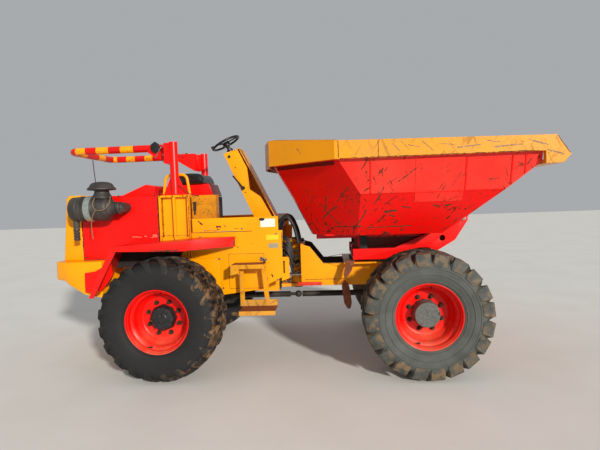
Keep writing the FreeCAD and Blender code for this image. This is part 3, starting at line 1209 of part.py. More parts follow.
def make_skip_rim():
    """The folded lip round the mouth, higher at the back, with cheeks and a front bar."""
    def ring(name, out, inside, low, high):
        body = new_body(name)
        nose = "rim_nose"
        pad(body, outline(body, "XY_Plane", skip_plan(MOUTH, out, nose), low),
            "%s - (%s)" % (high, low))
        room = outline(body, "XY_Plane", skip_plan(MOUTH, inside, nose + " + 50"), high)
        pocket(body, room, "%s - (%s)" % (high, low))
        return body

    def side_view(name, drop, low, front_low):
        points = (
            ("2 * skip_rear_top", low), ("skip_lip_x", low), ("skip_lip_x", front_low),
            ("rim_nose_under", front_low), ("rim_nose", "rim_nose_z"),
            ("rim_side_front", "rim_front_top - " + drop),
            ("skip_corner_top", "rim_side_top - " + drop),
            ("-rim_turn_x", "rim_back_top - " + drop),
            ("2 * skip_rear_top", "rim_back_top - " + drop))
        return sheet_plate(name, "XZ_Plane", points, "0", "4 * rim_out", True)

    out = "(rim_out - skip_half_top)"
    thin = out + " - rim_sheet"
    high = "rim_back_top + 1"
    whole = doc.addObject("Part::Common", "rim_whole")
    whole.Base = ring("rim_solid", out, "-rim_sheet", "rim_nose_low", high)
    whole.Tool = side_view("rim_view", "0", "rim_low", "rim_nose_low")
    channel = doc.addObject("Part::Common", "rim_channel")
    channel.Base = ring("channel_ring", thin, "0", "rim_nose_low", high)
    channel.Tool = side_view("channel_view", "rim_sheet", "rim_nose_low - 10", "rim_low")
    foot = ring("rim_foot", thin, "-2 * rim_sheet", "rim_nose_low", "skip_top_z")
    ahead = block("rim_ahead", "skip_lip_x", "2 * rim_nose", "-2 * rim_out", "2 * rim_out", "0",
                  "2 * rim_low")
    band = cut("rim_band", whole, cut("rim_foot_rear", foot, ahead))
    band = cut("rim_folded", band, cut("rim_channel_rear", channel, ahead))
    bar = sheet_plate("nose_bar", "XZ_Plane", (
        ("skip_lip_x", "rim_nose_low"), ("rim_nose_under", "rim_nose_low"),
        ("rim_nose", "rim_nose_z"), ("skip_lip_x", "rim_bar_top")), "0", "2 * skip_half_top",
        True)
    finished(fuse("skip_rim", band, bar), "skip_rim")


def make_tip_ram():
    """The tipping ram: barrel on the swivel frame, rod up to the skip's lugs."""
    rise = "atan((ram_eye_z - ram_z) / (ram_eye_x - ram_x))"
    run = "sqrt((ram_eye_z - ram_z) ^ 2 + (ram_eye_x - ram_x) ^ 2)"
    barrel = rod("barrel_tube", "ram_radius", "ram_long - ram_neck", "0", "0", "ram_neck")
    knuckle = rod("barrel_eye", "ram_radius - 6", "2 * (ram_radius - 2)", "0", "-ram_radius + 2",
                  "0", ALONG_Y)
    reach = "(ram_radius + ram_ear_gap + ram_ear + ram_pin_end)"
    pin = rod("barrel_pin", "ram_pin", "2 * " + reach, "0", "-" + reach, "0", ALONG_Y)
    room = rod("rod_room", "ram_rod + pin_fit", "ram_long", "0", "0", "ram_foot")
    tube = cut("tip_ram_barrel", fuse("barrel_whole", barrel, knuckle, pin), room)
    place(tube, "ram_x", "0", "ram_z", (0, 1, 0), "90 deg - " + rise)
    finished(tube, "tip_ram_barrel")
    start = "ram_foot + run_gap"
    bar = rod("rod_bar", "ram_rod", "%s - (%s)" % (run, start), "0", "0", start)
    eye = rod("rod_eye", "ram_eye", "2 * ram_eye_half", "0", "-ram_eye_half", run, ALONG_Y)
    bar = fuse("tip_ram_rod", bar, eye)
    place(bar, "ram_x", "0", "ram_z", (0, 1, 0), "90 deg - " + rise)
    finished(bar, "tip_ram_rod")


def make_steer_ram():
    """The steering ram on the right of the pivot."""
    side = "-steer_side"
    run = "steer_x + steer_eye_x"
    barrel = rod("steer_tube", "steer_radius", "steer_long - steer_neck",
                 "-steer_x + steer_neck", side, "steer_z", ALONG_X)
    knuckle = rod("steer_knuckle", "steer_eye + 2", "2 * steer_eye_half", "-steer_x", side,
                  "steer_z - steer_eye_half")
    neck = rod("steer_neck", "steer_eye_half - 2", "2 * steer_neck", "-steer_x", side, "steer_z",
               ALONG_X)
    reach = "(steer_eye_half + steer_ear_gap + steer_ear + ram_pin_end)"
    pin = rod("steer_barrel_pin", "steer_pin", "2 * " + reach, "-steer_x", side,
              "steer_z - " + reach)
    room = rod("steer_room", "steer_rod + pin_fit", "steer_long", "-steer_x + steer_foot", side,
               "steer_z", ALONG_X)
    finished(cut("steer_ram_barrel", fuse("steer_whole", barrel, knuckle, neck, pin), room),
             "steer_ram_barrel")
    bar = rod("steer_bar", "steer_rod", run + " - steer_start", "-steer_x + steer_start", side,
              "steer_z", ALONG_X)
    eye = rod("steer_eye_ring", "steer_eye", "2 * steer_eye_half", "steer_eye_x", side,
              "steer_z - steer_eye_half")
    finished(fuse("steer_ram_rod", bar, eye), "steer_ram_rod")


make_rear_frame()
make_pivot_pins()
make_counterweight()
make_cowl()
make_grille()
make_engine()
make_engine_panels()
make_bonnet()
make_air_cleaner()
make_rops_supports()
make_rops_posts()
make_hoop()
make_grab_rails()
make_mudguards()
make_seat()
make_tool_box()
make_side_panels()
make_floor()
make_console()
make_steering_wheel()
make_controls()
make_steps()
make_front_frame()
make_slew_ring()
make_shafts()
make_hoses()
make_flap()
make_swivel_frame()
make_skip()
make_tipping_pins()
make_skip_rim()
make_tip_ram()
make_steer_ram()

doc.recompute()

for thing in doc.Objects:
    if "Invalid" in thing.State or "Error" in thing.State:
        raise RuntimeError("%s did not build: %s" % (thing.Label, thing.State))
for piece in NODES:
    if piece.Shape.isNull() or not piece.Shape.isValid() or not piece.Shape.Solids:
        raise RuntimeError(piece.Label + " has no sound solid")

os.makedirs("parts", exist_ok=True)
for piece in NODES:
    piece.Shape.exportStep("parts/%s.step" % piece.Label)
    print(piece.Label, len(piece.Shape.Solids))
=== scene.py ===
import json
import math
import random

import bmesh
import bpy
from mathutils import Matrix, Vector
from mathutils.bvhtree import BVHTree

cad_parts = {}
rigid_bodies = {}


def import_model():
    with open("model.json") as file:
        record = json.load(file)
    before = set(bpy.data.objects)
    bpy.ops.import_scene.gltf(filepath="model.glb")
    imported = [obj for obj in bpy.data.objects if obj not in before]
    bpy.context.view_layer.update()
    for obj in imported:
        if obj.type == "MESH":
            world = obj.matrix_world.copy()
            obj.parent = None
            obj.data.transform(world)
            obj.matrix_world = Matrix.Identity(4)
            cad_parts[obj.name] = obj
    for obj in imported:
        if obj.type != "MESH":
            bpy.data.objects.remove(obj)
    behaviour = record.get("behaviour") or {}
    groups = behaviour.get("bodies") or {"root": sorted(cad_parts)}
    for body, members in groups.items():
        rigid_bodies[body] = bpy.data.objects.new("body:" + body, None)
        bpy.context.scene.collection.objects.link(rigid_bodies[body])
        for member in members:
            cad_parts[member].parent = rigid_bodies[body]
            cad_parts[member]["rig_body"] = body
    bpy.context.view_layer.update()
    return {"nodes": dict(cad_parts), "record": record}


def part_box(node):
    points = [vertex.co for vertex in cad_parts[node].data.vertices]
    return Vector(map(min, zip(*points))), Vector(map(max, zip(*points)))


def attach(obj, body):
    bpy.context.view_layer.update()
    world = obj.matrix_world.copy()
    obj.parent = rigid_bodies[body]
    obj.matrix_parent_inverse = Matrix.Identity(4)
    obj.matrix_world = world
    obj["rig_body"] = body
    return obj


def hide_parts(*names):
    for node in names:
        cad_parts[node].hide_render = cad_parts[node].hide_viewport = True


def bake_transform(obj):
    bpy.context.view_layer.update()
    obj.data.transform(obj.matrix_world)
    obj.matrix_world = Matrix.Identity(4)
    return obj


# The site dumper as it stands parked: metres, +X forward, +Y its left, +Z up.
# CAD nodes are copied, cleaned and given softened edges; tyres, rims, seat and trim are made here.

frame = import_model()

# Driving dimensions, in metres, as in the part's source
AXLE_X = 1.240
TYRE_RADIUS = 0.586
TYRE_SIDE = 0.910
LUGS = 20
FOLD = Vector((-1.400, 0.0, 2.270))
HOOP_HALF = 0.450


# Colours and the one node helper

def linear(code):
    """An sRGB hex colour as linear red, green, blue and alpha."""
    parts = [int(code[k:k + 2], 16) / 255 for k in (1, 3, 5)]
    return tuple(c / 12.92 if c <= 0.04045 else ((c + 0.055) / 1.055) ** 2.4
                 for c in parts) + (1.0,)


def node(tree, kind, links=None, **settings):
    """Adds a node: links name an input and the socket that feeds it, settings name the rest."""
    made = tree.nodes.new(kind)
    for key, value in settings.items():
        if key in made.bl_rna.properties:
            setattr(made, key, value)
        else:
            made.inputs[key.replace("_", " ")].default_value = value
    for key, socket in (links or {}).items():
        tree.links.new(socket, made.inputs[key])
    return made


def new_material(name, finish, rough=0.5, metal=0.0, **sockets):
    """A material with one principled shader, whose uniform numbers sit on its own sockets."""
    material = bpy.data.materials.new(name)
    material.use_nodes = True
    tree = material.node_tree
    tree.nodes.clear()
    shader = node(tree, "ShaderNodeBsdfPrincipled", Roughness=rough, Metallic=metal, **sockets)
    shader.inputs["Base Color"].default_value = linear(finish)
    out = node(tree, "ShaderNodeOutputMaterial", {"Surface": shader.outputs[0]})
    out.location = (600, 0)
    return material, tree, shader


def ramp(tree, source, stops):
    """A colour ramp over a source; stops are (place, hex colour or grey number)."""
    made = node(tree, "ShaderNodeValToRGB", {"Fac": source})
    while len(made.color_ramp.elements) < len(stops):
        made.color_ramp.elements.new(1.0)
    for element, (place, value) in zip(made.color_ramp.elements, stops):
        element.position = place
        element.color = linear(value) if isinstance(value, str) else (value, value, value, 1.0)
    return made.outputs["Color"]


def here(tree):
    """Object coordinates, which stay with a piece when it moves."""
    return node(tree, "ShaderNodeTexCoord").outputs["Object"]


def grain(tree, size_mm, stretch=(1, 1, 1), detail=4.0, rough=0.55):
    """Noise on object coordinates whose blobs are about size_mm across."""
    moved = node(tree, "ShaderNodeMapping", {"Vector": here(tree)}, Scale=stretch)
    return node(tree, "ShaderNodeTexNoise", {"Vector": moved.outputs[0]}, Scale=1000.0 / size_mm,
                Detail=detail, Roughness=rough).outputs["Fac"]


def feed(tree, made, values):
    """Gives numbered inputs a socket, a hex colour or a plain number."""
    for index, value in values:
        if isinstance(value, bpy.types.NodeSocket):
            tree.links.new(value, made.inputs[index])
        else:
            made.inputs[index].default_value = linear(value) if isinstance(value, str) else value


def blend(tree, share, first, second):
    """Mixes two colours or numbers-as-colours by a share."""
    made = node(tree, "ShaderNodeMix", data_type="RGBA")
    feed(tree, made, ((0, share), (6, first), (7, second)))
    return made.outputs[2]


def arithmetic(tree, way, first, second):
    made = node(tree, "ShaderNodeMath", operation=way)
    feed(tree, made, ((0, first), (1, second)))
    return made.outputs[0]


def height_share(tree, low, high):
    """1 at the low height and 0 at the high one, on object coordinates."""
    split = node(tree, "ShaderNodeSeparateXYZ", {"Vector": here(tree)})
    return node(tree, "ShaderNodeMapRange", {"Value": split.outputs["Z"]}, From_Min=low,
                From_Max=high, To_Min=1.0, To_Max=0.0).outputs[0]


def roughen(tree, shader, source, depth, distance=0.002):
    made = node(tree, "ShaderNodeBump", {"Height": source}, Strength=depth, Distance=distance)
    tree.links.new(made.outputs[0], shader.inputs["Normal"])


# Materials

# Scratches: how far a family of them slants, how rare it is and how fine
SCARS = ((0.55, 0.605, 24), (0.95, 0.625, 34), (-0.45, 0.625, 26))
SCAR_STRETCH = (1.0, 1.0, 9.0)
EDGE_RADIUS = 0.006
WORN_ROUGH = 0.88


def old_paint(name, fresh, faded, chip, chips=0.62, scars=0.0, dust="#8F8064", dust_top=0.75,
              dust_low=0.45, rough=0.34, scar_top=9.0):
    """Brushed-on machine enamel over steel: hard gloss gone patchy, chipped to dark rust at
    knocks, scratched, with road dust thickest low down. Chips are 8 to 25 mm, drawn as large as
    they show."""
    material, tree, shader = new_material(name, fresh, rough, Specular_IOR_Level=0.24,
                                          Coat_Weight=0.05, Coat_Roughness=0.2)
    patch = ramp(tree, grain(tree, 420, detail=5), ((0.36, 0.0), (0.70, 1.0)))
    colour = blend(tree, patch, fresh, faded)
    streak = ramp(tree, grain(tree, 90, (1, 1, 0.08), 3), ((0.56, 0.0), (0.80, 0.35)))
    colour = blend(tree, streak, colour, faded)
    marks = grain(tree, 26, detail=7, rough=0.68)
    where = ramp(tree, grain(tree, 310, detail=3), ((0.44, 0.0), (0.62, 1.0)))
    spots = ramp(tree, marks, ((chips, 0.0), (chips + 0.022, 1.0)))
    worn = arithmetic(tree, "MULTIPLY", spots, where)
    if scars:
        reach = arithmetic(tree, "MULTIPLY", height_share(tree, scar_top, scar_top + 0.2),
                           ramp(tree, grain(tree, 420, detail=2), ((0.40, 0.25), (0.56, 1.0))))
        for turn, limit, fine in SCARS:
            moved = node(tree, "ShaderNodeMapping", {"Vector": here(tree)}, vector_type="TEXTURE",
                         Rotation=(0.0, turn, 0.0), Scale=SCAR_STRETCH)
            lines = node(tree, "ShaderNodeTexNoise", {"Vector": moved.outputs[0]}, Scale=fine,
                         Detail=4.0, Roughness=0.55, Distortion=0.5)
            scratch = ramp(tree, lines.outputs["Fac"], ((limit, 0.0), (limit + 0.02, scars)))
            worn = arithmetic(tree, "MAXIMUM", worn, arithmetic(tree, "MULTIPLY", scratch, reach))
    rounded = node(tree, "ShaderNodeBevel", samples=4, Radius=EDGE_RADIUS)
    flat = node(tree, "ShaderNodeNewGeometry")
    turned = node(tree, "ShaderNodeVectorMath", {0: rounded.outputs[0], 1: flat.outputs["Normal"]},
                  operation="DOT_PRODUCT")
    edge = ramp(tree, turned.outputs["Value"], ((0.86, 1.0), (0.985, 0.0)))
    rubbed = ramp(tree, grain(tree, 34, detail=6, rough=0.65), ((0.47, 0.0), (0.56, 0.8)))
    worn = arithmetic(tree, "MAXIMUM", worn, arithmetic(tree, "MULTIPLY", edge, rubbed))
    colour = blend(tree, worn, colour, chip)
    film = arithmetic(tree, "MULTIPLY", height_share(tree, dust_low, dust_top),
                      ramp(tree, grain(tree, 160, detail=6), ((0.30, 0.15), (0.75, 0.9))))
    colour = blend(tree, film, colour, dust)
    tree.links.new(colour, shader.inputs["Base Color"])
    dull = arithmetic(tree, "MAXIMUM", worn, film)
    shade = node(tree, "ShaderNodeMapRange", {"Value": dull}, To_Min=rough, To_Max=WORN_ROUGH)
    tree.links.new(shade.outputs[0], shader.inputs["Roughness"])
    lumps = blend(tree, 0.25, grain(tree, 6, detail=2), arithmetic(tree, "SUBTRACT", 1.0, worn))
    roughen(tree, shader, lumps, 0.28, 0.0012)
    return material


def plain_finish(name, fresh, second, rough, metal=0.0, size=40, bump=0.2, dusty=None):
    """Two-tone mottled finish for iron, plastic, rubber or bare steel parts."""
    material, tree, shader = new_material(name, fresh, rough, metal)
    colour = blend(tree, ramp(tree, grain(tree, size, detail=6), ((0.35, 0.0), (0.68, 1.0))), fresh,
                   second)
    if dusty:
        film = arithmetic(tree, "MULTIPLY", height_share(tree, 0.2, 1.9),
                          ramp(tree, grain(tree, 120, detail=6), ((0.4, 0.0), (0.75, 0.8))))
        colour = blend(tree, film, colour, dusty)
    tree.links.new(colour, shader.inputs["Base Color"])
    roughen(tree, shader, grain(tree, size / 4, detail=5), bump)
    return material


RED = old_paint("machine_red_enamel", "#EE0A04", "#E8140A", "#3A1512", 0.675)
SKIP_RED = old_paint("skip_red_enamel_scarred", "#EC0804", "#E01208", "#33200F", 0.625, 0.9,
                     scar_top=1.62)
# Lighter red for the skip's upper band and side patch: painted highlight, and partly faded paint.
SKIP_FADED_AND_LIT = old_paint("skip_red_enamel_faded_and_painted_highlight", "#FA2A20", "#F23A2C", "#3A2412", 0.64, 0.8,
                       scar_top=1.95)
GUARD_RED = old_paint("guard_red_enamel", "#EC100A", "#D81A12", "#5A3A2C", 0.655)
# Dark red that stands for shade: painted shade on the skip's underside, the seat box's forward
# faces, the swivel skirts and under the rim's overhang.
SHADED_RED = old_paint("red_painted_shade", "#6A0806", "#4A0604", "#1E1210", 0.60)
YELLOW = old_paint("machine_yellow_enamel", "#F79A00", "#FCA600", "#5A3A12", 0.670)
GRIMY_YELLOW = old_paint("tool_box_yellow_grimy", "#D88A06", "#A86A14", "#2E2010", 0.58, 0.4)
# Darker yellow that stands for shade: painted shade in the panel recesses and on the footwell
# floor's forward faces.
SHADED_YELLOW = old_paint("recess_yellow_painted_shade", "#B06C08", "#8A5410", "#2E1C0C", 0.60)
RIM_YELLOW = old_paint("rim_yellow_scuffed", "#EE9A10", "#D89434", "#9A6826", 0.60, 0.55)
RIM_CORNER = old_paint("rim_yellow_corner", "#F49E00", "#E89606", "#7A4A20", 0.66)
RIM_PALE = old_paint("rim_yellow_rubbed", "#D8A868", "#B9906A", "#7A5A40", 0.56, 0.4)
STEP_YELLOW = old_paint("step_yellow_worn", "#E8980A", "#CC8C1C", "#5A3018", 0.60, 0.5)
WHEEL_RED = old_paint("wheel_red_enamel", "#F00A04", "#DE120A", "#5A1510", 0.69, rough=0.3,
                      dust="#C07A58", dust_low=0.20, dust_top=0.52)
IRON = plain_finish("cast_iron_oily", "#1B1A19", "#2C2824", 0.6, 0.3, 60, 0.35, "#5B4F3E")
GREY_CAP = plain_finish("hub_cap_dusty_steel", "#6A6C66", "#4E4F4A", 0.7, 0.2, 14, 0.5)
BLACK_CAP = plain_finish("hub_cap_black", "#17181A", "#2A2B2D", 0.45, 0.2, 25, 0.3)
PLASTIC = plain_finish("air_cleaner_weathered_plastic", "#2B2826", "#443F3A", 0.58, 0.0, 90, 0.25)
BAND = plain_finish("galvanised_band", "#9AA29C", "#B4BAB4", 0.42, 0.7, 30, 0.1)
HOSE = plain_finish("hose_rubber", "#141414", "#222120", 0.5, 0.0, 25, 0.3)
GRIP = plain_finish("moulded_black_grip", "#0E0E0F", "#1C1C1E", 0.38, 0.0, 12, 0.1)
RUST = plain_finish("rusty_flat_steel", "#5A3322", "#3A2018", 0.85, 0.2, 22, 0.5, "#6B5138")
TREAD_STEEL = plain_finish("worn_rusty_tread", "#8A4A28", "#6A3A22", 0.75, 0.35, 16, 0.5)
NUT_RUST = plain_finish("olive_rusty_nut", "#4A3A20", "#2E261A", 0.7, 0.4, 14, 0.4)
CHROME = plain_finish("hard_chrome_rod", "#B8BABC", "#A8AAAC", 0.16, 1.0, 60, 0.02)
STEEL = plain_finish("bare_zinc_fastener", "#77756E", "#8E8A80", 0.45, 0.75, 8, 0.2)
BARE = plain_finish("scoured_steel_inside", "#6E5A48", "#8A7660", 0.6, 0.45, 130, 0.35, "#8A7860")
PLATE = plain_finish("blank_label_plate", "#F2EFDF", "#E6E2CC", 0.45, 0.0, 20, 0.05)
GREY_PLATE = plain_finish("blank_worn_label", "#A39B80", "#8E8668", 0.6, 0.0, 6, 0.1)
# Near-black: the own colour of seams, latch, rod and cable, and also painted shade on forward
# faces, frame insides, under the mudguards and in holes.
DARK = plain_finish("dark_finish_and_painted_shade", "#1A1412", "#2A201A", 0.8, 0.0, 60, 0.2)
CORD = plain_finish("tan_twine", "#8A7350", "#6F5C40", 0.9, 0.0, 4, 0.4)


def tyre_rubber(name, fresh, grey, mud, muddy, dusty):
    """Carbon-black rubber, bloomed grey on the walls, rubbed pale on the bars, mud in the tread."""
    material, tree, shader = new_material(name, fresh, 0.7, Specular_IOR_Level=0.3)
    place = node(tree, "ShaderNodeAttribute", attribute_name="wall")
    wall = arithmetic(tree, "MULTIPLY", place.outputs["Fac"],
                      ramp(tree, grain(tree, 150, detail=6), ((0.25, dusty * 0.5), (0.7, dusty))))
    colour = blend(tree, wall, fresh, grey)
    rubbed = node(tree, "ShaderNodeAttribute", attribute_name="rubbed")
    pale = arithmetic(tree, "MULTIPLY", rubbed.outputs["Fac"],
                      ramp(tree, grain(tree, 45, detail=6), ((0.35, 0.25), (0.65, 0.85))))
    colour = blend(tree, pale, colour, grey)
    held = node(tree, "ShaderNodeAttribute", attribute_name="mud")
    clods = ramp(tree, grain(tree, 60, detail=7, rough=0.62), ((0.46, 0.0), (0.58, muddy)))
    colour = blend(tree, arithmetic(tree, "MULTIPLY", clods, held.outputs["Fac"]), colour, mud)
    tree.links.new(colour, shader.inputs["Base Color"])
    roughen(tree, shader, grain(tree, 9, detail=6, rough=0.65), 0.4, 0.002)
    return material


TYRE_BLACK = tyre_rubber("tyre_rubber_black", "#151516", "#2C2C2A", "#7E5E3C", 0.9, 0.5)
TYRE_GREY = tyre_rubber("tyre_rubber_dusty", "#1E1F1E", "#595C57", "#7C6448", 0.85, 0.95)


# Mesh helpers

def placed(name, data):
    """A new object for some data, linked into the scene at the origin."""
    made = bpy.data.objects.new(name, data)
    bpy.context.collection.objects.link(made)
    return made


def plain_mesh(holder):
    """The mesh that an object comes to; the object itself goes."""
    bpy.context.view_layer.update()
    made = bpy.data.meshes.new_from_object(holder.evaluated_get(
        bpy.context.evaluated_depsgraph_get()))
    holder.modifiers.clear()
    bpy.data.objects.remove(holder)
    return made


def piece(name, mesh, materials, body, replaced=(), slot=None, smooth=None):
    """Makes a shown piece from a bmesh, riding on a body; smooth is its sharp-edge angle."""
    data = bpy.data.meshes.new(name)
    bmesh.ops.recalc_face_normals(mesh, faces=mesh.faces)
    mesh.to_mesh(data)
    mesh.free()
    return finish_piece(name, data, materials, body, replaced, smooth)


def finish_piece(name, data, materials, body, replaced=(), smooth=None):
    for material in materials if isinstance(materials, (list, tuple)) else [materials]:
        data.materials.append(material)
    if smooth is not None:
        data.shade_smooth()
        data.set_sharp_from_angle(angle=math.radians(smooth))
    made = placed(name, data)
    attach(made, body)
    if replaced:
        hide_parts(*replaced)
    return made


BODY_OF = {}
for body, nodes in frame["record"]["behaviour"]["bodies"].items():
    for one in nodes:
        BODY_OF[one] = body


def soften(mesh, width=0.002, angle=30):
    """Rounds the edges of a mesh that turn by more than an angle."""
    sharp = [edge for edge in mesh.edges if len(edge.link_faces) == 2
             and edge.calc_face_angle(0.0) > math.radians(angle)]
    bmesh.ops.bevel(mesh, geom=sharp, offset=width, segments=2, profile=0.7, affect="EDGES",
                    clamp_overlap=True, material=-1)


WELD = 0.00002
FLAT_ANGLE = 0.6
HARD_ANGLE = 28


def dressed(name, materials, width=0.003, smooth=35):
    """A CAD node's own shape, merged to clean faces, with its hard edges softened."""
    mesh = bmesh.new()
    mesh.from_mesh(frame["nodes"][name].data)
    bmesh.ops.remove_doubles(mesh, verts=mesh.verts, dist=WELD)
    bmesh.ops.dissolve_limit(mesh, angle_limit=math.radians(FLAT_ANGLE), verts=mesh.verts,
                             edges=mesh.edges)
    if width:
        soften(mesh, width, HARD_ANGLE)
    data = bpy.data.meshes.new(name + "_dressed")
    mesh.to_mesh(data)
    mesh.free()
    data.materials.clear()
    for polygon in data.polygons:
        polygon.material_index = 0
    return finish_piece(name + "_dressed", data, materials, BODY_OF[name], (name,),
                        smooth)


def box_into(mesh, low, high):
    """Adds a closed block between two corners to a bmesh."""
    size = Vector(high) - Vector(low)
    middle = (Vector(high) + Vector(low)) / 2
    place = Matrix.Translation(middle) @ Matrix.Diagonal((*size, 1.0))
    return bmesh.ops.create_cube(mesh, size=1.0, matrix=place)["verts"]


def rod_into(mesh, start, end, radius, sides):
    """Adds a closed round bar between two points to a bmesh."""
    start, end = Vector(start), Vector(end)
    way = end - start
    turn = way.to_track_quat("Z", "Y").to_matrix().to_4x4()
    place = Matrix.Translation((start + end) / 2) @ turn
    return bmesh.ops.create_cone(mesh, cap_ends=True, segments=sides, radius1=radius,
                                 radius2=radius, depth=way.length, matrix=place)["verts"]


def block_into(mesh, low, high, side):
    """Adds a block given for the left side, or its mirror image where side is -1."""
    near, far = sorted((low[1] * side, high[1] * side))
    box_into(mesh, (low[0], near, low[2]), (high[0], far, high[2]))


def close_plate(mesh, near, far):
    """Closes the space between two outlines that match corner for corner."""
    mesh.faces.new(near)
    mesh.faces.new(list(reversed(far)))
    for k in range(len(near)):
        m = (k + 1) % len(near)
        mesh.faces.new((near[k], far[k], far[m], near[m]))


def close_bar(mesh, loops):
    """Joins four-cornered loops one after the other into a closed bar."""
    for one, two in zip(loops, loops[1:]):
        for m in range(4):
            n = (m + 1) % 4
            mesh.faces.new((one[m], one[n], two[n], two[m]))
    mesh.faces.new(loops[0])
    mesh.faces.new(loops[-1])


def plate_into(mesh, outline, thick, at):
    """Adds an upright plate along the machine: (x, z) pairs, from at by thick across it."""
    near = [mesh.verts.new((x, at, z)) for x, z in outline]
    far = [mesh.verts.new((x, at + thick, z)) for x, z in outline]
    close_plate(mesh, near, far)


def plated(name, outlines, thick, out, finish, body, slot, edge=None):
    """One piece of plates on both sides of the machine, their middles that far out."""
    mesh = bmesh.new()
    for side in (-1, 1):
        for outline in outlines:
            plate_into(mesh, outline, thick, out * side - thick / 2)
    bmesh.ops.remove_doubles(mesh, verts=mesh.verts, dist=0.0001)
    if edge:
        soften(mesh, edge)
    piece(name, mesh, finish, body, slot=slot, smooth=30)


def oblong(x_low, x_high, z_low, z_high):
    return (x_low, z_low), (x_high, z_low), (x_high, z_high), (x_low, z_high)


def lathe_into(mesh, profile, centre, segments=96, closed=True):
    """Turns (radius, side) pairs about a line along Y through centre."""
    rings = []
    for radius, side in profile:
        if radius < 1e-6:
            rings.append([mesh.verts.new((centre[0], centre[1] + side, centre[2]))])
            continue
        ring = []
        for k in range(segments):
            a = 2 * math.pi * k / segments
            ring.append(mesh.verts.new((centre[0] + radius * math.cos(a), centre[1] + side,
                                        centre[2] + radius * math.sin(a))))
        rings.append(ring)
    pairs = list(zip(rings, rings[1:]))
    if closed:
        pairs.append((rings[-1], rings[0]))
    for one, two in pairs:
        for k in range(segments):
            m = (k + 1) % segments
            if len(one) == 1 and len(two) == 1:
                break
            if len(one) == 1:
                mesh.faces.new((one[0], two[k], two[m]))
            elif len(two) == 1:
                mesh.faces.new((one[k], two[0], one[m]))
            else:
                mesh.faces.new((one[k], two[k], two[m], one[m]))
    return rings


def tube_mesh(name, points, radius, tight=False):
    """A round tube along a smooth line through control points, as a mesh."""
    curve = bpy.data.curves.new(name, "CURVE")
    curve.dimensions = "3D"
    curve.bevel_depth = radius
    curve.bevel_resolution = 2
    curve.use_fill_caps = True
    spline = curve.splines.new("POLY" if tight else "NURBS")
    spline.points.add(len(points) - 1)
    for spot, place in zip(spline.points, points):
        spot.co = (*place, 1.0)
    if not tight:
        spline.order_u = 3
        spline.use_endpoint_u = True
        curve.resolution_u = 8
    return plain_mesh(placed(name, curve))


def tube(name, points, radius, material, body, tight=False):
    data = tube_mesh(name, points, radius, tight)
    data.materials.clear()
    return finish_piece(name, data, material, body, smooth=60)


# Bolts by geometry nodes: one hexagon head for each point, standing along its own direction

def bolt_tree():
    tree = bpy.data.node_groups.new("bolt_heads", "GeometryNodeTree")
    sockets = tree.interface
    sockets.new_socket("Geometry", in_out="INPUT", socket_type="NodeSocketGeometry")
    for label, kind in (("Head radius", "NodeSocketFloat"), ("Head height", "NodeSocketFloat"),
                        ("Sides", "NodeSocketInt"), ("Finish", "NodeSocketMaterial")):
        sockets.new_socket(label, in_out="INPUT", socket_type=kind)
    sockets.new_socket("Geometry", in_out="OUTPUT", socket_type="NodeSocketGeometry")
    given = node(tree, "NodeGroupInput").outputs
    head = node(tree, "GeometryNodeMeshCylinder", {
        "Vertices": given["Sides"], "Radius": given["Head radius"], "Depth": given["Head height"]})
    half = arithmetic(tree, "MULTIPLY", given["Head height"], 0.5)
    lift = node(tree, "ShaderNodeCombineXYZ", {"Z": half})
    raised = node(tree, "GeometryNodeTransform", {"Geometry": head.outputs["Mesh"],
                                                  "Translation": lift.outputs[0]})
    facing = node(tree, "GeometryNodeInputNamedAttribute", data_type="FLOAT_VECTOR", Name="facing")
    turn = node(tree, "FunctionNodeAlignRotationToVector", {"Vector": facing.outputs[0]}, axis="Z")
    spots = node(tree, "GeometryNodeInstanceOnPoints", {
        "Points": given["Geometry"], "Instance": raised.outputs[0], "Rotation": turn.outputs[0]})
    real = node(tree, "GeometryNodeRealizeInstances", {"Geometry": spots.outputs[0]})
    painted = node(tree, "GeometryNodeSetMaterial", {"Geometry": real.outputs[0],
                                                     "Material": given["Finish"]})
    node(tree, "NodeGroupOutput", {"Geometry": painted.outputs[0]})
    return tree


BOLTS = bolt_tree()


def run_tree(name, data, tree, inputs):
    """Evaluates a geometry tree over a mesh and returns the plain mesh it makes."""
    holder = placed(name, data)
    modifier = holder.modifiers.new("made", "NODES")
    modifier.node_group = tree
    for item in tree.interface.items_tree:
        if item.in_out == "INPUT" and item.name in inputs:
            modifier[item.identifier] = inputs[item.name]
    return plain_mesh(holder)


def bolts(name, spots, body, radius=0.013, tall=0.009, finish=None, sides=6):
    """Bolt heads at (place, direction) pairs, joined as one piece."""
    data = bpy.data.meshes.new(name + "_points")
    data.from_pydata([tuple(place) for place, way in spots], [], [])
    facing = data.attributes.new("facing", "FLOAT_VECTOR", "POINT")
    facing.data.foreach_set("vector", [v for place, way in spots for v in way])
    made = run_tree(name, data, BOLTS, {"Head radius": radius, "Head height": tall, "Sides": sides,
                                        "Finish": finish or STEEL})
    made.name = name
    made.materials.clear()
    return finish_piece(name, made, finish or STEEL, body, smooth=30)


# Wheels

def smooth_line(points, steps=5):
    """A rounded line through (radius, side) points."""
    line = []
    count = len(points)
    for k in range(count - 1):
        a, b, c, d = (Vector(points[max(0, min(count - 1, k + shift))]) for shift in (-1, 0, 1, 2))
        for step in range(steps):
            t = step / steps
            spot = 0.5 * ((2 * b) + (c - a) * t + (2 * a - 5 * b + 4 * c - d) * t * t
                          + (3 * b - a - 3 * c + d) * t ** 3)
            line.append((spot[0], spot[1]))
    line.append(tuple(points[-1]))
    return line


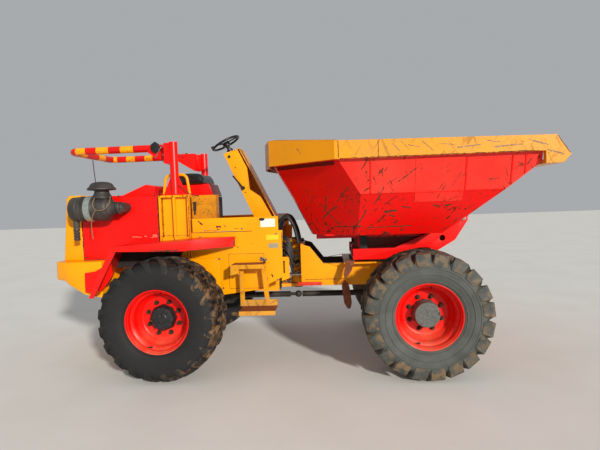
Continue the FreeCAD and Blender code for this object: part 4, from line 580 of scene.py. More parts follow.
# Half of each tyre's section as (radius, side), from the bead out to the middle of the crown
WORN_SECTION = (
    (0.290, 0.178), (0.296, 0.205), (0.312, 0.222), (0.318, 0.230), (0.324, 0.229),
    (0.345, 0.238), (0.380, 0.246), (0.420, 0.249), (0.455, 0.249), (0.490, 0.243),
    (0.520, 0.230), (0.541, 0.208), (0.551, 0.175), (0.556, 0.110), (0.559, 0.0))
LUGGED_SECTION = (
    (0.290, 0.178), (0.296, 0.205), (0.312, 0.221), (0.322, 0.226), (0.325, 0.232),
    (0.331, 0.232), (0.334, 0.229), (0.360, 0.238), (0.384, 0.243), (0.387, 0.2475),
    (0.392, 0.2475), (0.395, 0.244), (0.425, 0.246), (0.437, 0.246), (0.440, 0.2495),
    (0.446, 0.2495), (0.449, 0.246), (0.475, 0.240), (0.498, 0.230), (0.515, 0.210),
    (0.525, 0.180), (0.531, 0.110), (0.534, 0.0))

# Lug stations: foot radius and side, top radius and side, half width, share of the sweep
WORN_LUG = (
    (0.552, 0.004, 0.5790, 0.008, 0.020, 0.00), (0.550, 0.060, 0.5845, 0.060, 0.028, 0.30),
    (0.546, 0.130, 0.5840, 0.130, 0.033, 0.66), (0.538, 0.185, 0.5740, 0.188, 0.037, 0.90),
    (0.522, 0.212, 0.5560, 0.222, 0.039, 1.02), (0.492, 0.232, 0.5140, 0.244, 0.034, 1.12),
    (0.458, 0.242, 0.4680, 0.2495, 0.020, 1.18))
DEEP_LUG = (
    (0.526, 0.002, 0.5790, 0.006, 0.022, 0.00), (0.526, 0.050, 0.5850, 0.050, 0.034, 0.28),
    (0.524, 0.110, 0.5855, 0.112, 0.048, 0.58), (0.518, 0.170, 0.5820, 0.178, 0.064, 0.84),
    (0.504, 0.210, 0.5720, 0.226, 0.071, 0.96), (0.486, 0.230, 0.5400, 0.2480, 0.068, 1.00),
    (0.454, 0.238, 0.4640, 0.2500, 0.052, 1.00))


def make_tyre(end, hand, way, section, lug, count, sweep, skew, rubber, slot):
    """A carcass turned from its section, with two rows of directional lugs loosely spaced."""
    side = -1 if hand == "right" else 1
    centre = Vector((way * AXLE_X, side * TYRE_SIDE, TYRE_RADIUS))
    mesh = bmesh.new()
    wall = mesh.verts.layers.float.new("wall")
    rubbed = mesh.verts.layers.float.new("rubbed")
    mud = mesh.verts.layers.float.new("mud")

    def held(angle):
        return 1.0 if end == "front" else min(1.0, max(0.0, 1.1 * math.cos(angle) + 0.15))

    half = smooth_line(section)
    outline = half + [(r, -y) for r, y in reversed(half[:-1])]
    rings = lathe_into(mesh, outline, centre, 128, True)
    for ring, (radius, across) in zip(rings, outline):
        for vert in ring:
            way_out = vert.co - centre
            vert[wall] = min(1.0, max(0.0, (0.535 - radius) / 0.05))
            vert[mud] = 0.6 * held(math.atan2(way_out.z, way_out.x)) * (radius > 0.52)
    draw = random.Random(7 + len(end) + 3 * (hand == "left"))
    for row in (1, -1):
        for k in range(count):
            start = 2 * math.pi * (k + (0.5 if row < 0 else 0.0)) / count
            start += draw.uniform(-0.012, 0.012)
            wear = draw.uniform(-0.004, 0.0)
            caked = draw.uniform(0.5, 1.0)
            loops = []
            for foot, foot_side, top, top_side, width, share in lug:
                turn = start + way * sweep * share
                loop = []
                for radius, across, edge in ((foot, foot_side, 1.12), (top, top_side, 0.90)):
                    reach = radius + (wear if edge < 1 else 0.0)
                    for sign in (-1, 1):
                        angle = turn + sign * width * edge / radius + skew * (radius - foot)
                        spot = centre + Vector((reach * math.cos(angle), row * across,
                                                reach * math.sin(angle)))
                        made = mesh.verts.new(spot)
                        made[wall] = 0.5 if share >= 0.96 else 0.0
                        made[rubbed] = (1.0 if sign < 0 else 0.35) if edge < 1 else 0.0
                        made[mud] = held(angle) * caked
                        loop.append(made)
                loops.append((loop[0], loop[2], loop[3], loop[1]))
            close_bar(mesh, loops)
    tyre = "tyre_%s_%s" % (end, hand)
    return piece(tyre + "_rubber", mesh, rubber, "wheel_%s_%s" % (end, hand), (tyre,), slot, 38)


# The wheel's face as (radius, side): lip, seat, step, well, dish and disc, then back again
RIM_SECTION = (
    (0.290, 0.2035), (0.300, 0.2045), (0.3045, 0.2090), (0.3040, 0.2140), (0.2985, 0.2150),
    (0.2930, 0.2125), (0.2895, 0.2050), (0.2860, 0.1980), (0.2800, 0.1930), (0.2780, 0.1860),
    (0.2770, 0.1480), (0.2740, 0.1400), (0.2640, 0.1340), (0.2540, 0.1290), (0.2500, 0.1210),
    (0.2480, 0.0700), (0.2430, 0.0600), (0.2330, 0.0530), (0.2180, 0.0240), (0.2060, 0.0160),
    (0.1900, 0.0140), (0.1000, 0.0140), (0.1000, 0.0020), (0.1950, 0.0020), (0.2080, 0.0040),
    (0.2230, 0.0220), (0.2360, 0.0400), (0.2420, 0.0400), (0.2450, -0.1200), (0.2560, -0.1330),
    (0.2740, -0.1500), (0.2740, -0.1900), (0.2950, -0.2010), (0.3050, -0.2080),
    (0.3050, -0.2150), (0.2960, -0.2150), (0.2940, -0.2060), (0.2850, -0.2000),
    (0.2860, -0.1530), (0.2600, -0.1400), (0.2570, -0.1240), (0.2565, 0.1240),
    (0.2600, 0.1390), (0.2850, 0.1530), (0.2850, 0.1910))
HUB_SECTION = (
    (0.0, -0.030), (0.178, -0.030), (0.178, 0.001), (0.150, 0.002), (0.0, 0.002))
FLAT_CAP = (
    (0.0, 0.134), (0.060, 0.1345), (0.100, 0.1350), (0.1100, 0.1340), (0.1150, 0.1300),
    (0.1165, 0.1240), (0.1170, 0.0900), (0.1200, 0.0700), (0.1240, 0.0145), (0.0, 0.0145))
BOLTED_CAP = (
    (0.0, 0.086), (0.045, 0.086), (0.052, 0.081), (0.092, 0.079), (0.112, 0.074),
    (0.118, 0.066), (0.122, 0.045), (0.130, 0.036), (0.132, 0.0145), (0.0, 0.0145))


def make_wheel(end, hand, way):
    """The dished rim, its hub, cap and nuts."""
    side = -1 if hand == "right" else 1
    body = "wheel_%s_%s" % (end, hand)
    centre = Vector((way * AXLE_X, side * TYRE_SIDE, TYRE_RADIUS))

    def turned(name, section, material, sides=96, closed=True, **more):
        mesh = bmesh.new()
        lathe_into(mesh, [(r, side * y) for r, y in section], centre, sides, closed)
        return piece(name, mesh, material, body, smooth=32, **more)

    rim = "rim_%s_%s" % (end, hand)
    turned(rim + "_dish", RIM_SECTION, WHEEL_RED, 120, replaced=(rim,), slot="red_paint")
    turned(rim + "_hub", HUB_SECTION, IRON, 48, closed=False, slot="dark_iron")
    cap, finish = (BOLTED_CAP, BLACK_CAP) if end == "rear" else (FLAT_CAP, GREY_CAP)
    turned(rim + "_cap", cap, finish, 8 if end == "rear" else 64, closed=False, slot="dark_iron")
    out = Vector((0.0, side, 0.0))

    def ring(count, radius, start, level):
        return [(centre + Vector((radius * math.cos(start + 2 * math.pi * k / count), side * level,
                                  radius * math.sin(start + 2 * math.pi * k / count))), out)
                for k in range(count)]

    nuts = ring(8, 0.158, 0.42, 0.014)
    bolts(rim + "_washers", nuts, body, 0.0235, 0.005, NUT_RUST, 20)
    bolts(rim + "_nuts", nuts, body, 0.0175, 0.024, NUT_RUST)
    bolts(rim + "_studs", nuts, body, 0.0090, 0.038, NUT_RUST, 10)
    if end == "rear":
        bolts(rim + "_cap_bolts", ring(8, 0.098, 0.2, 0.077), body, 0.012, 0.010, IRON)
        bolts(rim + "_cap_plug", ring(1, 0.030, 1.9, 0.086), body, 0.016, 0.014, IRON)
    else:
        bolts(rim + "_cap_bolts", ring(12, 0.122, 0.1, 0.0145), body, 0.009, 0.016, IRON)
        bolts(rim + "_cap_notch", ring(1, 0.104, 0.15, 0.132), body, 0.013, 0.006, IRON, 4)
    mesh = bmesh.new()
    spot = centre + Vector((-0.105, side * 0.146, -0.252))
    box_into(mesh, spot - Vector((0.030, 0.006, 0.007)), spot + Vector((0.030, 0.006, 0.007)))
    rod_into(mesh, centre + Vector((0.030, side * 0.150, 0.262)),
             centre + Vector((0.034, side * 0.196, 0.250)), 0.005, 10)
    piece(rim + "_clip_and_valve", mesh, IRON, body, slot="dark_iron", smooth=35)


for hand in ("right", "left"):
    make_tyre("rear", hand, -1, WORN_SECTION, WORN_LUG, LUGS, 0.34, 0.6, TYRE_BLACK, "tyre_dark")
    make_tyre("front", hand, 1, LUGGED_SECTION, DEEP_LUG, LUGS, 0.27, 0.0, TYRE_GREY, "tyre_dusty")
    make_wheel("rear", hand, -1)
    make_wheel("front", hand, 1)


# Roll bar, banded red and yellow by its run from the near hinge

BAR_REAR = -2.352
BANDS = ((0.255, 0.397), (0.525, 0.659), (0.777, 0.890), (1.082, 1.227), (1.492, 1.647),
         (1.807, 1.944), (2.062, 2.174), (2.299, 2.400))


def bar_run(place):
    """How far round the bar a point is from its near hinge."""
    leg = FOLD.x - BAR_REAR
    if place.x > BAR_REAR + 0.06:
        along = FOLD.x - place.x
        return along if place.y < 0 else 2 * leg + 2 * HOOP_HALF - along
    return leg + HOOP_HALF + place.y


BAR_PAINT = old_paint("bar_paint_banded", "#DD100A", "#C01A12", "#4A1A12", 0.655)
hoop = dressed("rops_hoop", BAR_PAINT, 0)
run = hoop.data.attributes.new("run", "FLOAT", "POINT")
run.data.foreach_set("value", [bar_run(vert.co) for vert in hoop.data.vertices])
tree = BAR_PAINT.node_tree
shader = [one for one in tree.nodes if one.type == "BSDF_PRINCIPLED"][0]
red = shader.inputs["Base Color"].links[0].from_socket
ragged = arithmetic(tree, "MULTIPLY", arithmetic(tree, "SUBTRACT", grain(tree, 26), 0.5), 0.016)
along = arithmetic(tree, "ADD", node(tree, "ShaderNodeAttribute", attribute_name="run")
                   .outputs["Fac"], ragged)
share = None
for start, end in BANDS:
    inside = arithmetic(tree, "COMPARE", along, (start + end) / 2)
    inside.node.inputs[2].default_value = (end - start) / 2
    share = inside if share is None else arithmetic(tree, "MAXIMUM", share, inside)
band = blend(tree, ramp(tree, grain(tree, 24, detail=6), ((0.60, 0.0), (0.66, 1.0))), "#F7A40A",
             "#6B4A1C")
tree.links.new(blend(tree, share, red, band), shader.inputs["Base Color"])
hoop.data.materials.append(GRIP)
for polygon in hoop.data.polygons:
    if polygon.center.x > FOLD.x - 0.06 and abs(polygon.center.y) > 0.505:
        polygon.material_index = 1


# Plated pieces taken from the CAD with softened edges

for name, material, width in (
        ("articulation_pins", IRON, 0.003), ("counterweight", YELLOW, 0.012),
        ("radiator_cowl", YELLOW, 0.010), ("radiator_grille", IRON, 0),
        ("engine_block", IRON, 0.012), ("engine_side_panels", RED, 0.002),
        ("bonnet_lid", RED, 0.004), ("rops_supports", YELLOW, 0.003),
        ("rops_posts", RED, 0.0015), ("grab_rails", YELLOW, 0),
        ("tool_box", GRIMY_YELLOW, 0.003), ("tool_lid_right", GRIMY_YELLOW, 0.003),
        ("side_panels", YELLOW, 0.002),
        ("steering_wheel", GRIP, 0), ("controls", GRIP, 0.002), ("slew_ring", IRON, 0.003),
        ("rear_axle", IRON, 0.008), ("front_axle", IRON, 0.008), ("rear_propshaft", IRON, 0),
        ("front_propshaft", IRON, 0), ("tipping_pins", STEEL, 0.002),
        ("swivel_frame", RED, 0.003),
        ("tip_ram_barrel", GRIP, 0.002), ("tip_ram_rod", CHROME, 0.001),
        ("steer_ram_barrel", GRIP, 0.002), ("steer_ram_rod", CHROME, 0.001)):
    dressed(name, material, width)


def bare_where(made, test, material):
    """Gives a second finish to the faces that a test picks by middle and direction."""
    made.data.materials.append(material)
    for polygon in made.data.polygons:
        if test(polygon.center, polygon.normal):
            polygon.material_index = len(made.data.materials) - 1


def inside_skip(middle, way):
    """Faces that look into the skip, where the load has scoured off the paint."""
    toward = Vector((1.0, 0.0, 2.2)) - middle
    return middle.z > 1.311 and way.dot(toward) > 0.05 and middle.z < 2.03


# Faces that look forward take the shaded finish of each pair: painted shade.
for name, material, shaded, width in (
        ("rear_frame", YELLOW, DARK, 0.002), ("footwell_floor", STEP_YELLOW, SHADED_YELLOW, 0.002),
        ("seat_platform", YELLOW, DARK, 0.006), ("seat_box", RED, SHADED_RED, 0.006)):
    bare_where(dressed(name, material, width), lambda middle, way: way.x > 0.6, shaded)


# The front frame's inward faces in near-black: painted shade, with some grease.
bare_where(dressed("front_frame", YELLOW, 0.003),
           lambda middle, way: way.y * middle.y < 0 and abs(way.y) > 0.7, DARK)


def lit_high_side(middle, way):
    """The upper band of the skip's outside, in a lighter red: painted highlight where it tilts up
    to the sun and sky, and partly faded paint.
    """
    return middle.z > 1.70 and not inside_skip(middle, way) and abs(way.y) > 0.75


# Downward faces low on the skip take the dark red: painted shade.
def under_skip(middle, way):
    return way.z < -0.8 and middle.z < 1.45


# Ahead of the bend a mudguard narrows toward its root, by this share of its reach at the tip
GUARD_BEND = -0.930
GUARD_TIP = -0.500
GUARD_ROOT = 0.640
GUARD_NARROWED = 0.9
GUARD_BACK = 0.070
GUARD_DOWN = 0.027


def taper_guards(made):
    """Runs the outer edge of each mudguard in to the side plate, ahead of a bend."""
    mesh = bmesh.new()
    mesh.from_mesh(made.data)
    bmesh.ops.bisect_plane(mesh, geom=mesh.verts[:] + mesh.edges[:] + mesh.faces[:], dist=0.0001,
                           plane_co=(GUARD_BEND, 0, 0), plane_no=(1, 0, 0))
    for vert in mesh.verts:
        share = max((vert.co.x - GUARD_BEND) / (GUARD_TIP - GUARD_BEND), 0.0)
        reach = max(abs(vert.co.y) - GUARD_ROOT, 0.0)
        vert.co.y -= math.copysign(reach * GUARD_NARROWED * share, vert.co.y)
        vert.co.x -= GUARD_BACK * share
        vert.co.z -= GUARD_DOWN * share
    mesh.to_mesh(made.data)
    mesh.free()
    made.data.set_sharp_from_angle(angle=math.radians(30))


taper_guards(dressed("mudguards", GUARD_RED, 0.002))
skip = dressed("skip_shell", SKIP_RED, 0.002, smooth=4)
bare_where(skip, inside_skip, BARE)
bare_where(skip, lit_high_side, SKIP_FADED_AND_LIT)
bare_where(skip, under_skip, SHADED_RED)
lip = dressed("skip_rim", RIM_YELLOW, 0.003, smooth=8)
bare_where(lip, lambda middle, way: middle.x < 0.50 and abs(way.y) > 0.3 and way.x < -0.2,
           RIM_CORNER)
bare_where(lip, lambda middle, way: way.x < -0.9 and middle.x < 0.2, RIM_PALE)
steps = dressed("steps", STEP_YELLOW, 0.002)
bare_where(steps, lambda middle, way: way.z > 0.8 and abs(middle.y) > 0.63, TREAD_STEEL)


# Air cleaner: ribbed canister, band, neck with rain cap, elbow and dust valve

def lathe_x(mesh, profile, centre, segments=64):
    """Turns (radius, place) pairs about a line along X, closed at both ends."""
    for ring in lathe_into(mesh, profile, (0.0, 0.0, 0.0), segments, False):
        for vert in ring:
            vert.co = Vector((vert.co.y, vert.co.x, vert.co.z)) + Vector(centre)


def lathe_z(mesh, profile, centre, segments=64):
    """Turns (radius, height) pairs about an upright line."""
    for ring in lathe_into(mesh, profile, (0.0, 0.0, 0.0), segments, False):
        for vert in ring:
            vert.co = Vector((vert.co.x, vert.co.z, vert.co.y)) + Vector(centre)


CLEANER = Vector((0.0, -0.745, 1.655))
NECK = CLEANER + Vector((-1.882, 0, 0))
mesh = bmesh.new()
lathe_x(mesh, (
    (0.0, -2.196), (0.060, -2.196), (0.095, -2.193), (0.113, -2.186), (0.119, -2.178),
    (0.121, -2.168), (0.121, -2.130), (0.1235, -2.127), (0.1235, -2.113), (0.121, -2.110),
    (0.119, -2.095), (0.121, -2.080), (0.121, -1.985), (0.1235, -1.982), (0.1235, -1.966),
    (0.121, -1.963), (0.121, -1.835), (0.118, -1.818), (0.105, -1.802), (0.085, -1.797),
    (0.0, -1.795)), CLEANER)
lathe_z(mesh, (
    (0.0, 0.100), (0.098, 0.100), (0.094, 0.118), (0.084, 0.132), (0.074, 0.150),
    (0.070, 0.165), (0.070, 0.196), (0.074, 0.200), (0.074, 0.206), (0.0, 0.206)),
    NECK)
lathe_z(mesh, (
    (0.0, 0.180), (0.110, 0.182), (0.130, 0.184), (0.1360, 0.188), (0.1360, 0.196),
    (0.131, 0.205), (0.120, 0.213), (0.114, 0.222), (0.105, 0.240), (0.088, 0.254),
    (0.066, 0.262), (0.038, 0.266), (0.0, 0.267)), NECK, 72)
for k in range(20):
    turn = 2 * math.pi * k / 20
    out = Vector((math.cos(turn), math.sin(turn), 0.0))
    rod_into(mesh, NECK + out * 0.110 + Vector((0, 0, 0.210)),
             NECK + out * 0.134 + Vector((0, 0, 0.1965)), 0.0035, 6)
lathe_z(mesh, (
    (0.0, -0.312), (0.026, -0.314), (0.032, -0.300), (0.024, -0.285), (0.0325, -0.270),
    (0.0235, -0.255), (0.0325, -0.240), (0.0235, -0.225), (0.0325, -0.210), (0.025, -0.190),
    (0.030, -0.175), (0.031, -0.110), (0.0, -0.100)), CLEANER + Vector((-2.163, 0, 0)), 24)
piece("air_cleaner_body", mesh, PLASTIC, "rear_chassis", ("air_cleaner",), "dark_plastic", 40)

mesh = bmesh.new()
elbow = tube_mesh("elbow_line", [
    CLEANER + Vector((x, y, 0)) for x, y in
    ((-1.785, 0), (-1.745, 0), (-1.704, 0.005), (-1.704, 0.075), (-1.704, 0.148))], 0.055)
mesh.from_mesh(elbow)
lathe_x(mesh, (
    (0.0, -1.800), (0.096, -1.800), (0.090, -1.786), (0.070, -1.772), (0.060, -1.764),
    (0.060, -1.756), (0.064, -1.754), (0.064, -1.738), (0.058, -1.736), (0.0, -1.736)), CLEANER, 48)
lathe_x(mesh, (
    (0.0, -1.714), (0.058, -1.714), (0.063, -1.710), (0.063, -1.696), (0.060, -1.692),
    (0.0, -1.692)), CLEANER - Vector((0, 0.006, 0)), 48)
piece("air_cleaner_elbow", mesh, PLASTIC, "rear_chassis", slot="dark_plastic", smooth=40)

mesh = bmesh.new()
for start in (-2.100, -1.900):
    lathe_x(mesh, ((0.1212, start), (0.1265, start), (0.1275, start + 0.003),
                   (0.1275, start + 0.035), (0.1265, start + 0.038), (0.1212, start + 0.038)),
            CLEANER, 72)
    box_into(mesh, (start, -0.745, 1.595), (start + 0.038, -0.600, 1.715))
piece("air_cleaner_bands", mesh, PLASTIC, "rear_chassis", slot="dark_plastic", smooth=35)
mesh = bmesh.new()
lathe_x(mesh, ((0.1214, -2.024), (0.1285, -2.024), (0.1285, -1.962), (0.1214, -1.962)), CLEANER,
        72)
piece("air_cleaner_label_band", mesh, BAND, "rear_chassis", slot="dark_plastic", smooth=35)
for name, line in (
        ("loop", ((-1.772, 1.772, -0.800), (-1.750, 1.735, -0.850), (-1.752, 1.686, -0.880),
                  (-1.790, 1.645, -0.882), (-1.850, 1.630, -0.882), (-1.905, 1.650, -0.881),
                  (-1.925, 1.715, -0.868), (-1.912, 1.765, -0.830))),
        ("tail", ((-1.885, 1.640, -0.884), (-1.915, 1.600, -0.880), (-1.938, 1.550, -0.864),
                  (-1.946, 1.490, -0.862), (-1.944, 1.430, -0.864), (-1.934, 1.362, -0.862)))):
    tube("air_cleaner_twine_" + name, [(x, y, z) for x, z, y in line], 0.0045, CORD,
         "rear_chassis")
tube("thin_dark_rod", [(-1.945, -0.735, 1.910), (-1.955, -0.735, 2.030), (-1.962, -0.735, 2.142)],
     0.004, DARK, "rear_chassis", tight=True)


# Console: side plates with a cut-out front edge, over a folded front plate

CONSOLE_BACK = ((-0.400, 1.386), (-0.523, 1.664), (-0.719, 2.106), (-0.765, 2.210))
NOTCHED = CONSOLE_BACK + ((-0.608, 2.255), (-0.510, 2.050), (-0.486, 1.812), (-0.372, 1.730),
                          (-0.250, 1.500), (-0.250, 1.386))
FULL = CONSOLE_BACK + ((-0.587, 2.260), (-0.192, 1.450), (-0.192, 1.386))
mesh = bmesh.new()
plate_into(mesh, NOTCHED, 0.008, -0.160)
plate_into(mesh, FULL, 0.008, 0.152)
plate_into(mesh, ((-0.585, 2.265), (-0.190, 1.450), (-0.190, 1.386), (-0.197, 1.386),
                  (-0.197, 1.448), (-0.592, 2.258)), 0.320, -0.160)
plate_into(mesh, ((-0.765, 2.210), (-0.585, 2.265), (-0.587, 2.272), (-0.768, 2.217)), 0.320,
           -0.160)
plate_into(mesh, ((-0.400, 1.386), (-0.757, 2.207), (-0.750, 2.204), (-0.392, 1.386)), 0.304,
           -0.152)
bmesh.ops.remove_doubles(mesh, verts=mesh.verts, dist=0.00001)
soften(mesh, 0.0012)
piece("console_plates", mesh, YELLOW, "rear_chassis", ("console",), "yellow_paint", 30)
mesh = bmesh.new()
COLUMN_LEAN = math.radians(27)
COLUMN_TOP = Vector((-0.771, 0, 2.353))
lean = Vector((-math.sin(COLUMN_LEAN), 0, math.cos(COLUMN_LEAN)))
for low, high, radius in ((0.190, 0.0803, 0.032), (0.100, 0.088, 0.037)):
    rod_into(mesh, COLUMN_TOP - lean * low, COLUMN_TOP - lean * high, radius, 32)
piece("column_boss", mesh, GRIP, "rear_chassis", slot="dark_plastic", smooth=35)


# Seat: one padded form, dished across, with its bolster and welted seam

# Rises over the seat's base, and the shares of its length or half width where they set in
CROWN = 0.108
BOLSTER = 0.026
BOLSTER_END = 0.22
SWELL = 0.016
DISH = 0.014
SIDE_ROLL = 0.040
ROLL_START = 0.86
NOSE_ROLL = 0.050
NOSE_START = 0.82
SEAM_DEPTH = 0.0045
SIDE_SEAM = 0.66
BACK_SEAM = 0.16
mesh = bmesh.new()
low, high = (Vector(corner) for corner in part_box("seat"))
rows = 28
across = 30
grid = []
for j in range(rows + 1):
    t = j / rows
    line = []
    for k in range(across + 1):
        s = 2 * k / across - 1
        y = (high.y - 0.003) * s
        x = low.x + 0.005 + (high.x - low.x - 0.010) * t
        rise = CROWN + BOLSTER * max(0.0, 1 - t / BOLSTER_END) ** 0.7
        rise += SWELL * math.sin(math.pi * t)
        rise -= DISH * (1 - s * s) * math.sin(math.pi * min(1, t * 1.1))
        rise -= SIDE_ROLL * (max(abs(s) - ROLL_START, 0) / (1 - ROLL_START)) ** 2.2
        rise -= NOSE_ROLL * (max(t - NOSE_START, 0) / (1 - NOSE_START)) ** 2
        channel = math.exp(-((abs(s) - SIDE_SEAM) / 0.022) ** 2)
        channel += math.exp(-((t - BACK_SEAM) / 0.016) ** 2)
        rise -= SEAM_DEPTH * min(channel, 1.0)
        line.append(mesh.verts.new((x, y, low.z + rise)))
    grid.append(line)
for j in range(rows):
    for k in range(across):
        mesh.faces.new((grid[j][k], grid[j][k + 1], grid[j + 1][k + 1], grid[j + 1][k]))
rim = [edge for edge in mesh.edges if edge.is_boundary]
middle = Vector(((low.x + high.x) / 2, 0.0, 0.0))
for rise, swell in ((0.042, 1.012), (0.022, 0.998), (0.006, 0.975), (0.0005, 0.944)):
    made = bmesh.ops.extrude_edge_only(mesh, edges=rim)["geom"]
    rim = [one for one in made if isinstance(one, bmesh.types.BMEdge)]
    for vert in [one for one in made if isinstance(one, bmesh.types.BMVert)]:
        flat = (Vector((vert.co.x, vert.co.y, 0)) - middle) * swell
        vert.co = Vector((middle.x + flat.x, flat.y, min(low.z + rise, vert.co.z)))
bmesh.ops.edgeloop_fill(mesh, edges=rim)
SEAT_COVER = plain_finish("coated_seat_fabric", "#0D0D0E", "#1A1A1C", 0.32, 0.0, 3, 0.12)
seat = piece("seat_cushion", mesh, SEAT_COVER, "rear_chassis", ("seat",), "seat_cover", 60)


# Trim laid on the plates: seams, weld beads, scuffs, patches and blank labels

def skin_of(*names):
    """A tree of faces from CAD nodes' own meshes, to lay trim on."""
    mesh = bmesh.new()
    for name in names:
        mesh.from_mesh(frame["nodes"][name].data)
    tree = BVHTree.FromBMesh(mesh)
    mesh.free()
    return tree


def onto(skin, x, z, side):
    """Where a line from the side meets a skin at x and z, and the way the skin faces there."""
    spot, way, index, reach = skin.ray_cast(Vector((x, 3.0 * side, z)), Vector((0, -side, 0)))
    if spot is None:
        return None
    return spot, way if way.y * side > 0 else -way


SUNK = 0.001


def laid(mesh, skin, line, wide, tall=0.0012, side=-1, ragged=0.0):
    """A closed strip along (x, z) points on a skin; ragged edges wander by that share."""
    draw = random.Random(int(1000 * abs(line[0][0] + 3.1 * line[0][1])) + 5)
    path = []
    for start, end in zip(line, line[1:]):
        steps = max(1, int(math.dist(start, end) / (0.012 if ragged else 0.25)))
        path += [Vector(start).lerp(Vector(end), k / steps) for k in range(steps)]
    path.append(Vector(line[-1]))
    loops = []
    for k, spot in enumerate(path):
        along = (path[min(k + 1, len(path) - 1)] - path[max(k - 1, 0)]).normalized()
        ends = []
        for sign in (-1, 1):
            half = sign * wide / 2 * (1 + ragged * draw.uniform(-1, 1))
            ends.append(onto(skin, spot.x - along.y * half, spot.y + along.x * half, side))
        if None in ends:
            continue
        loops.append([mesh.verts.new(place + way * level) for (place, way), level in (
            (ends[0], -SUNK), (ends[1], -SUNK), (ends[1], tall), (ends[0], tall))])
    if len(loops) > 1:
        close_bar(mesh, loops)


def patched(mesh, skin, outline, tall, side=-1):
    """A closed plate with its outline of (x, z) points laid on a flat part of a skin."""
    hits = [onto(skin, x, z, side) for x, z in outline]
    if None in hits:
        return
    near = [mesh.verts.new(place + way * tall) for place, way in hits]
    far = [mesh.verts.new(place - way * SUNK) for place, way in hits]
    close_plate(mesh, near, far)


def trim(name, skin, rows, material, body, slot, sides=(-1,), smooth=30):
    """One piece of laid strips; a row is (points, width, height, raggedness)."""
    mesh = bmesh.new()
    for side in sides:
        for line, wide, tall, ragged in rows:
            laid(mesh, skin, line, wide, tall, side, ragged)
    return piece(name, mesh, material, body, slot=slot, smooth=smooth)


def round_outline(x, z, wide, high, count=20):
    return [(x + wide * math.cos(2 * math.pi * k / count), z + high * math.sin(
        2 * math.pi * k / count)) for k in range(count)]


def frame_rows(x_low, x_high, z_low, z_high, wide, tall):
    corners = ((x_low, z_low), (x_low, z_high), (x_high, z_high), (x_high, z_low), (x_low, z_low))
    return [((one, two), wide, tall, 0.0) for one, two in zip(corners, corners[1:])]


def side_spots(out, *places):
    """Bolt spots at (x, z) places on both sides of the machine, that far out."""
    return [(Vector((x, side * out, z)), Vector((0, side, 0))) for side in (-1, 1)
            for x, z in places]


# Behind the step the side skin runs on as far as the wheel
plated("side_skin_behind_wheel", [
    ((-1.230, 0.790), (-0.740, 0.742), (-0.740, 1.372), (-1.030, 1.372), (-1.030, 1.290),
     (-1.230, 1.290))], 0.006, 0.6135, YELLOW, "rear_chassis", "yellow_paint", 0.001)
# A dark plate under each mudguard standing for the shade there: painted shade.
plated("wheel_arch_liner", [
    ((-1.830, 1.040), (-1.752, 1.240), (-1.010, 1.305), (-1.010, 1.285), (-1.130, 1.170),
     (-1.180, 1.040))], 0.006, 0.637, DARK, "rear_chassis", "red_paint")

SIDE_SKIN = skin_of("side_panels", "footwell_floor", "rops_supports", "engine_side_panels",
                    "radiator_cowl")
seams = frame_rows(-0.654, -0.293, 0.792, 1.145, 0.0035, 0.0006)
seams += [(((-1.018, 1.374), (-0.097, 1.374)), 0.006, 0.0010, 0.0),
          (((-1.016, 1.380), (-1.016, 1.512)), 0.004, 0.0008, 0.0),
          (((-1.372, 1.135), (-1.374, 1.440), (-1.369, 1.780)), 0.012, 0.0010, 0.75),
          (((-2.186, 1.125), (-2.186, 1.795)), 0.010, 0.0010, 0.6),
          (((-2.180, 1.124), (-1.365, 1.124)), 0.007, 0.0010, 0.6),
          (((-2.180, 1.797), (-1.365, 1.797)), 0.006, 0.0010, 0.5),
          (((-1.345, 1.350), (-1.045, 1.350)), 0.005, 0.0010, 0.9),
          (((-1.045, 1.130), (-1.045, 1.760)), 0.006, 0.0010, 0.8),
          (((-0.105, 0.810), (-0.105, 1.360)), 0.006, 0.0008, 0.7)]
trim("panel_seams", SIDE_SKIN, seams, DARK, "rear_chassis", "dark_iron", (-1, 1))
# Darker strips in the corners of the panel recesses: painted shade.
trim("recess_painted_shade", SIDE_SKIN, [
    (((-1.345, 1.752), (-1.047, 1.752)), 0.018, 0.0008, 0.5),
    (((-1.333, 1.140), (-1.333, 1.740)), 0.012, 0.0006, 0.5),
    (((-1.205, 1.140), (-1.205, 1.740)), 0.014, 0.0006, 0.5),
    (((-1.075, 1.140), (-1.075, 1.740)), 0.012, 0.0006, 0.5)], SHADED_YELLOW, "rear_chassis",
     "yellow_paint", (-1, 1))
trim("dark_chips", SIDE_SKIN, [
    (((-0.952, 1.494), (-0.930, 1.470), (-0.908, 1.455)), 0.012, 0.0012, 0.8),
    (((-0.770, 1.428), (-0.742, 1.436), (-0.722, 1.424)), 0.020, 0.0012, 0.7),
    (((-0.764, 1.405), (-0.735, 1.398)), 0.012, 0.0012, 0.7),
    (((-0.900, 1.392), (-0.760, 1.388)), 0.004, 0.0010, 0.9),
    (((-0.690, 1.440), (-0.668, 1.428)), 0.007, 0.0010, 0.8),
    (((-0.585, 1.404), (-0.540, 1.402)), 0.004, 0.0010, 0.9),
    (((-0.420, 1.250), (-0.402, 1.246)), 0.005, 0.0010, 0.8),
    (((-0.222, 0.930), (-0.205, 0.900)), 0.010, 0.0010, 0.9),
    (((-0.560, 1.220), (-0.548, 1.205)), 0.006, 0.0010, 0.8)], RUST, "rear_chassis", "dark_iron")
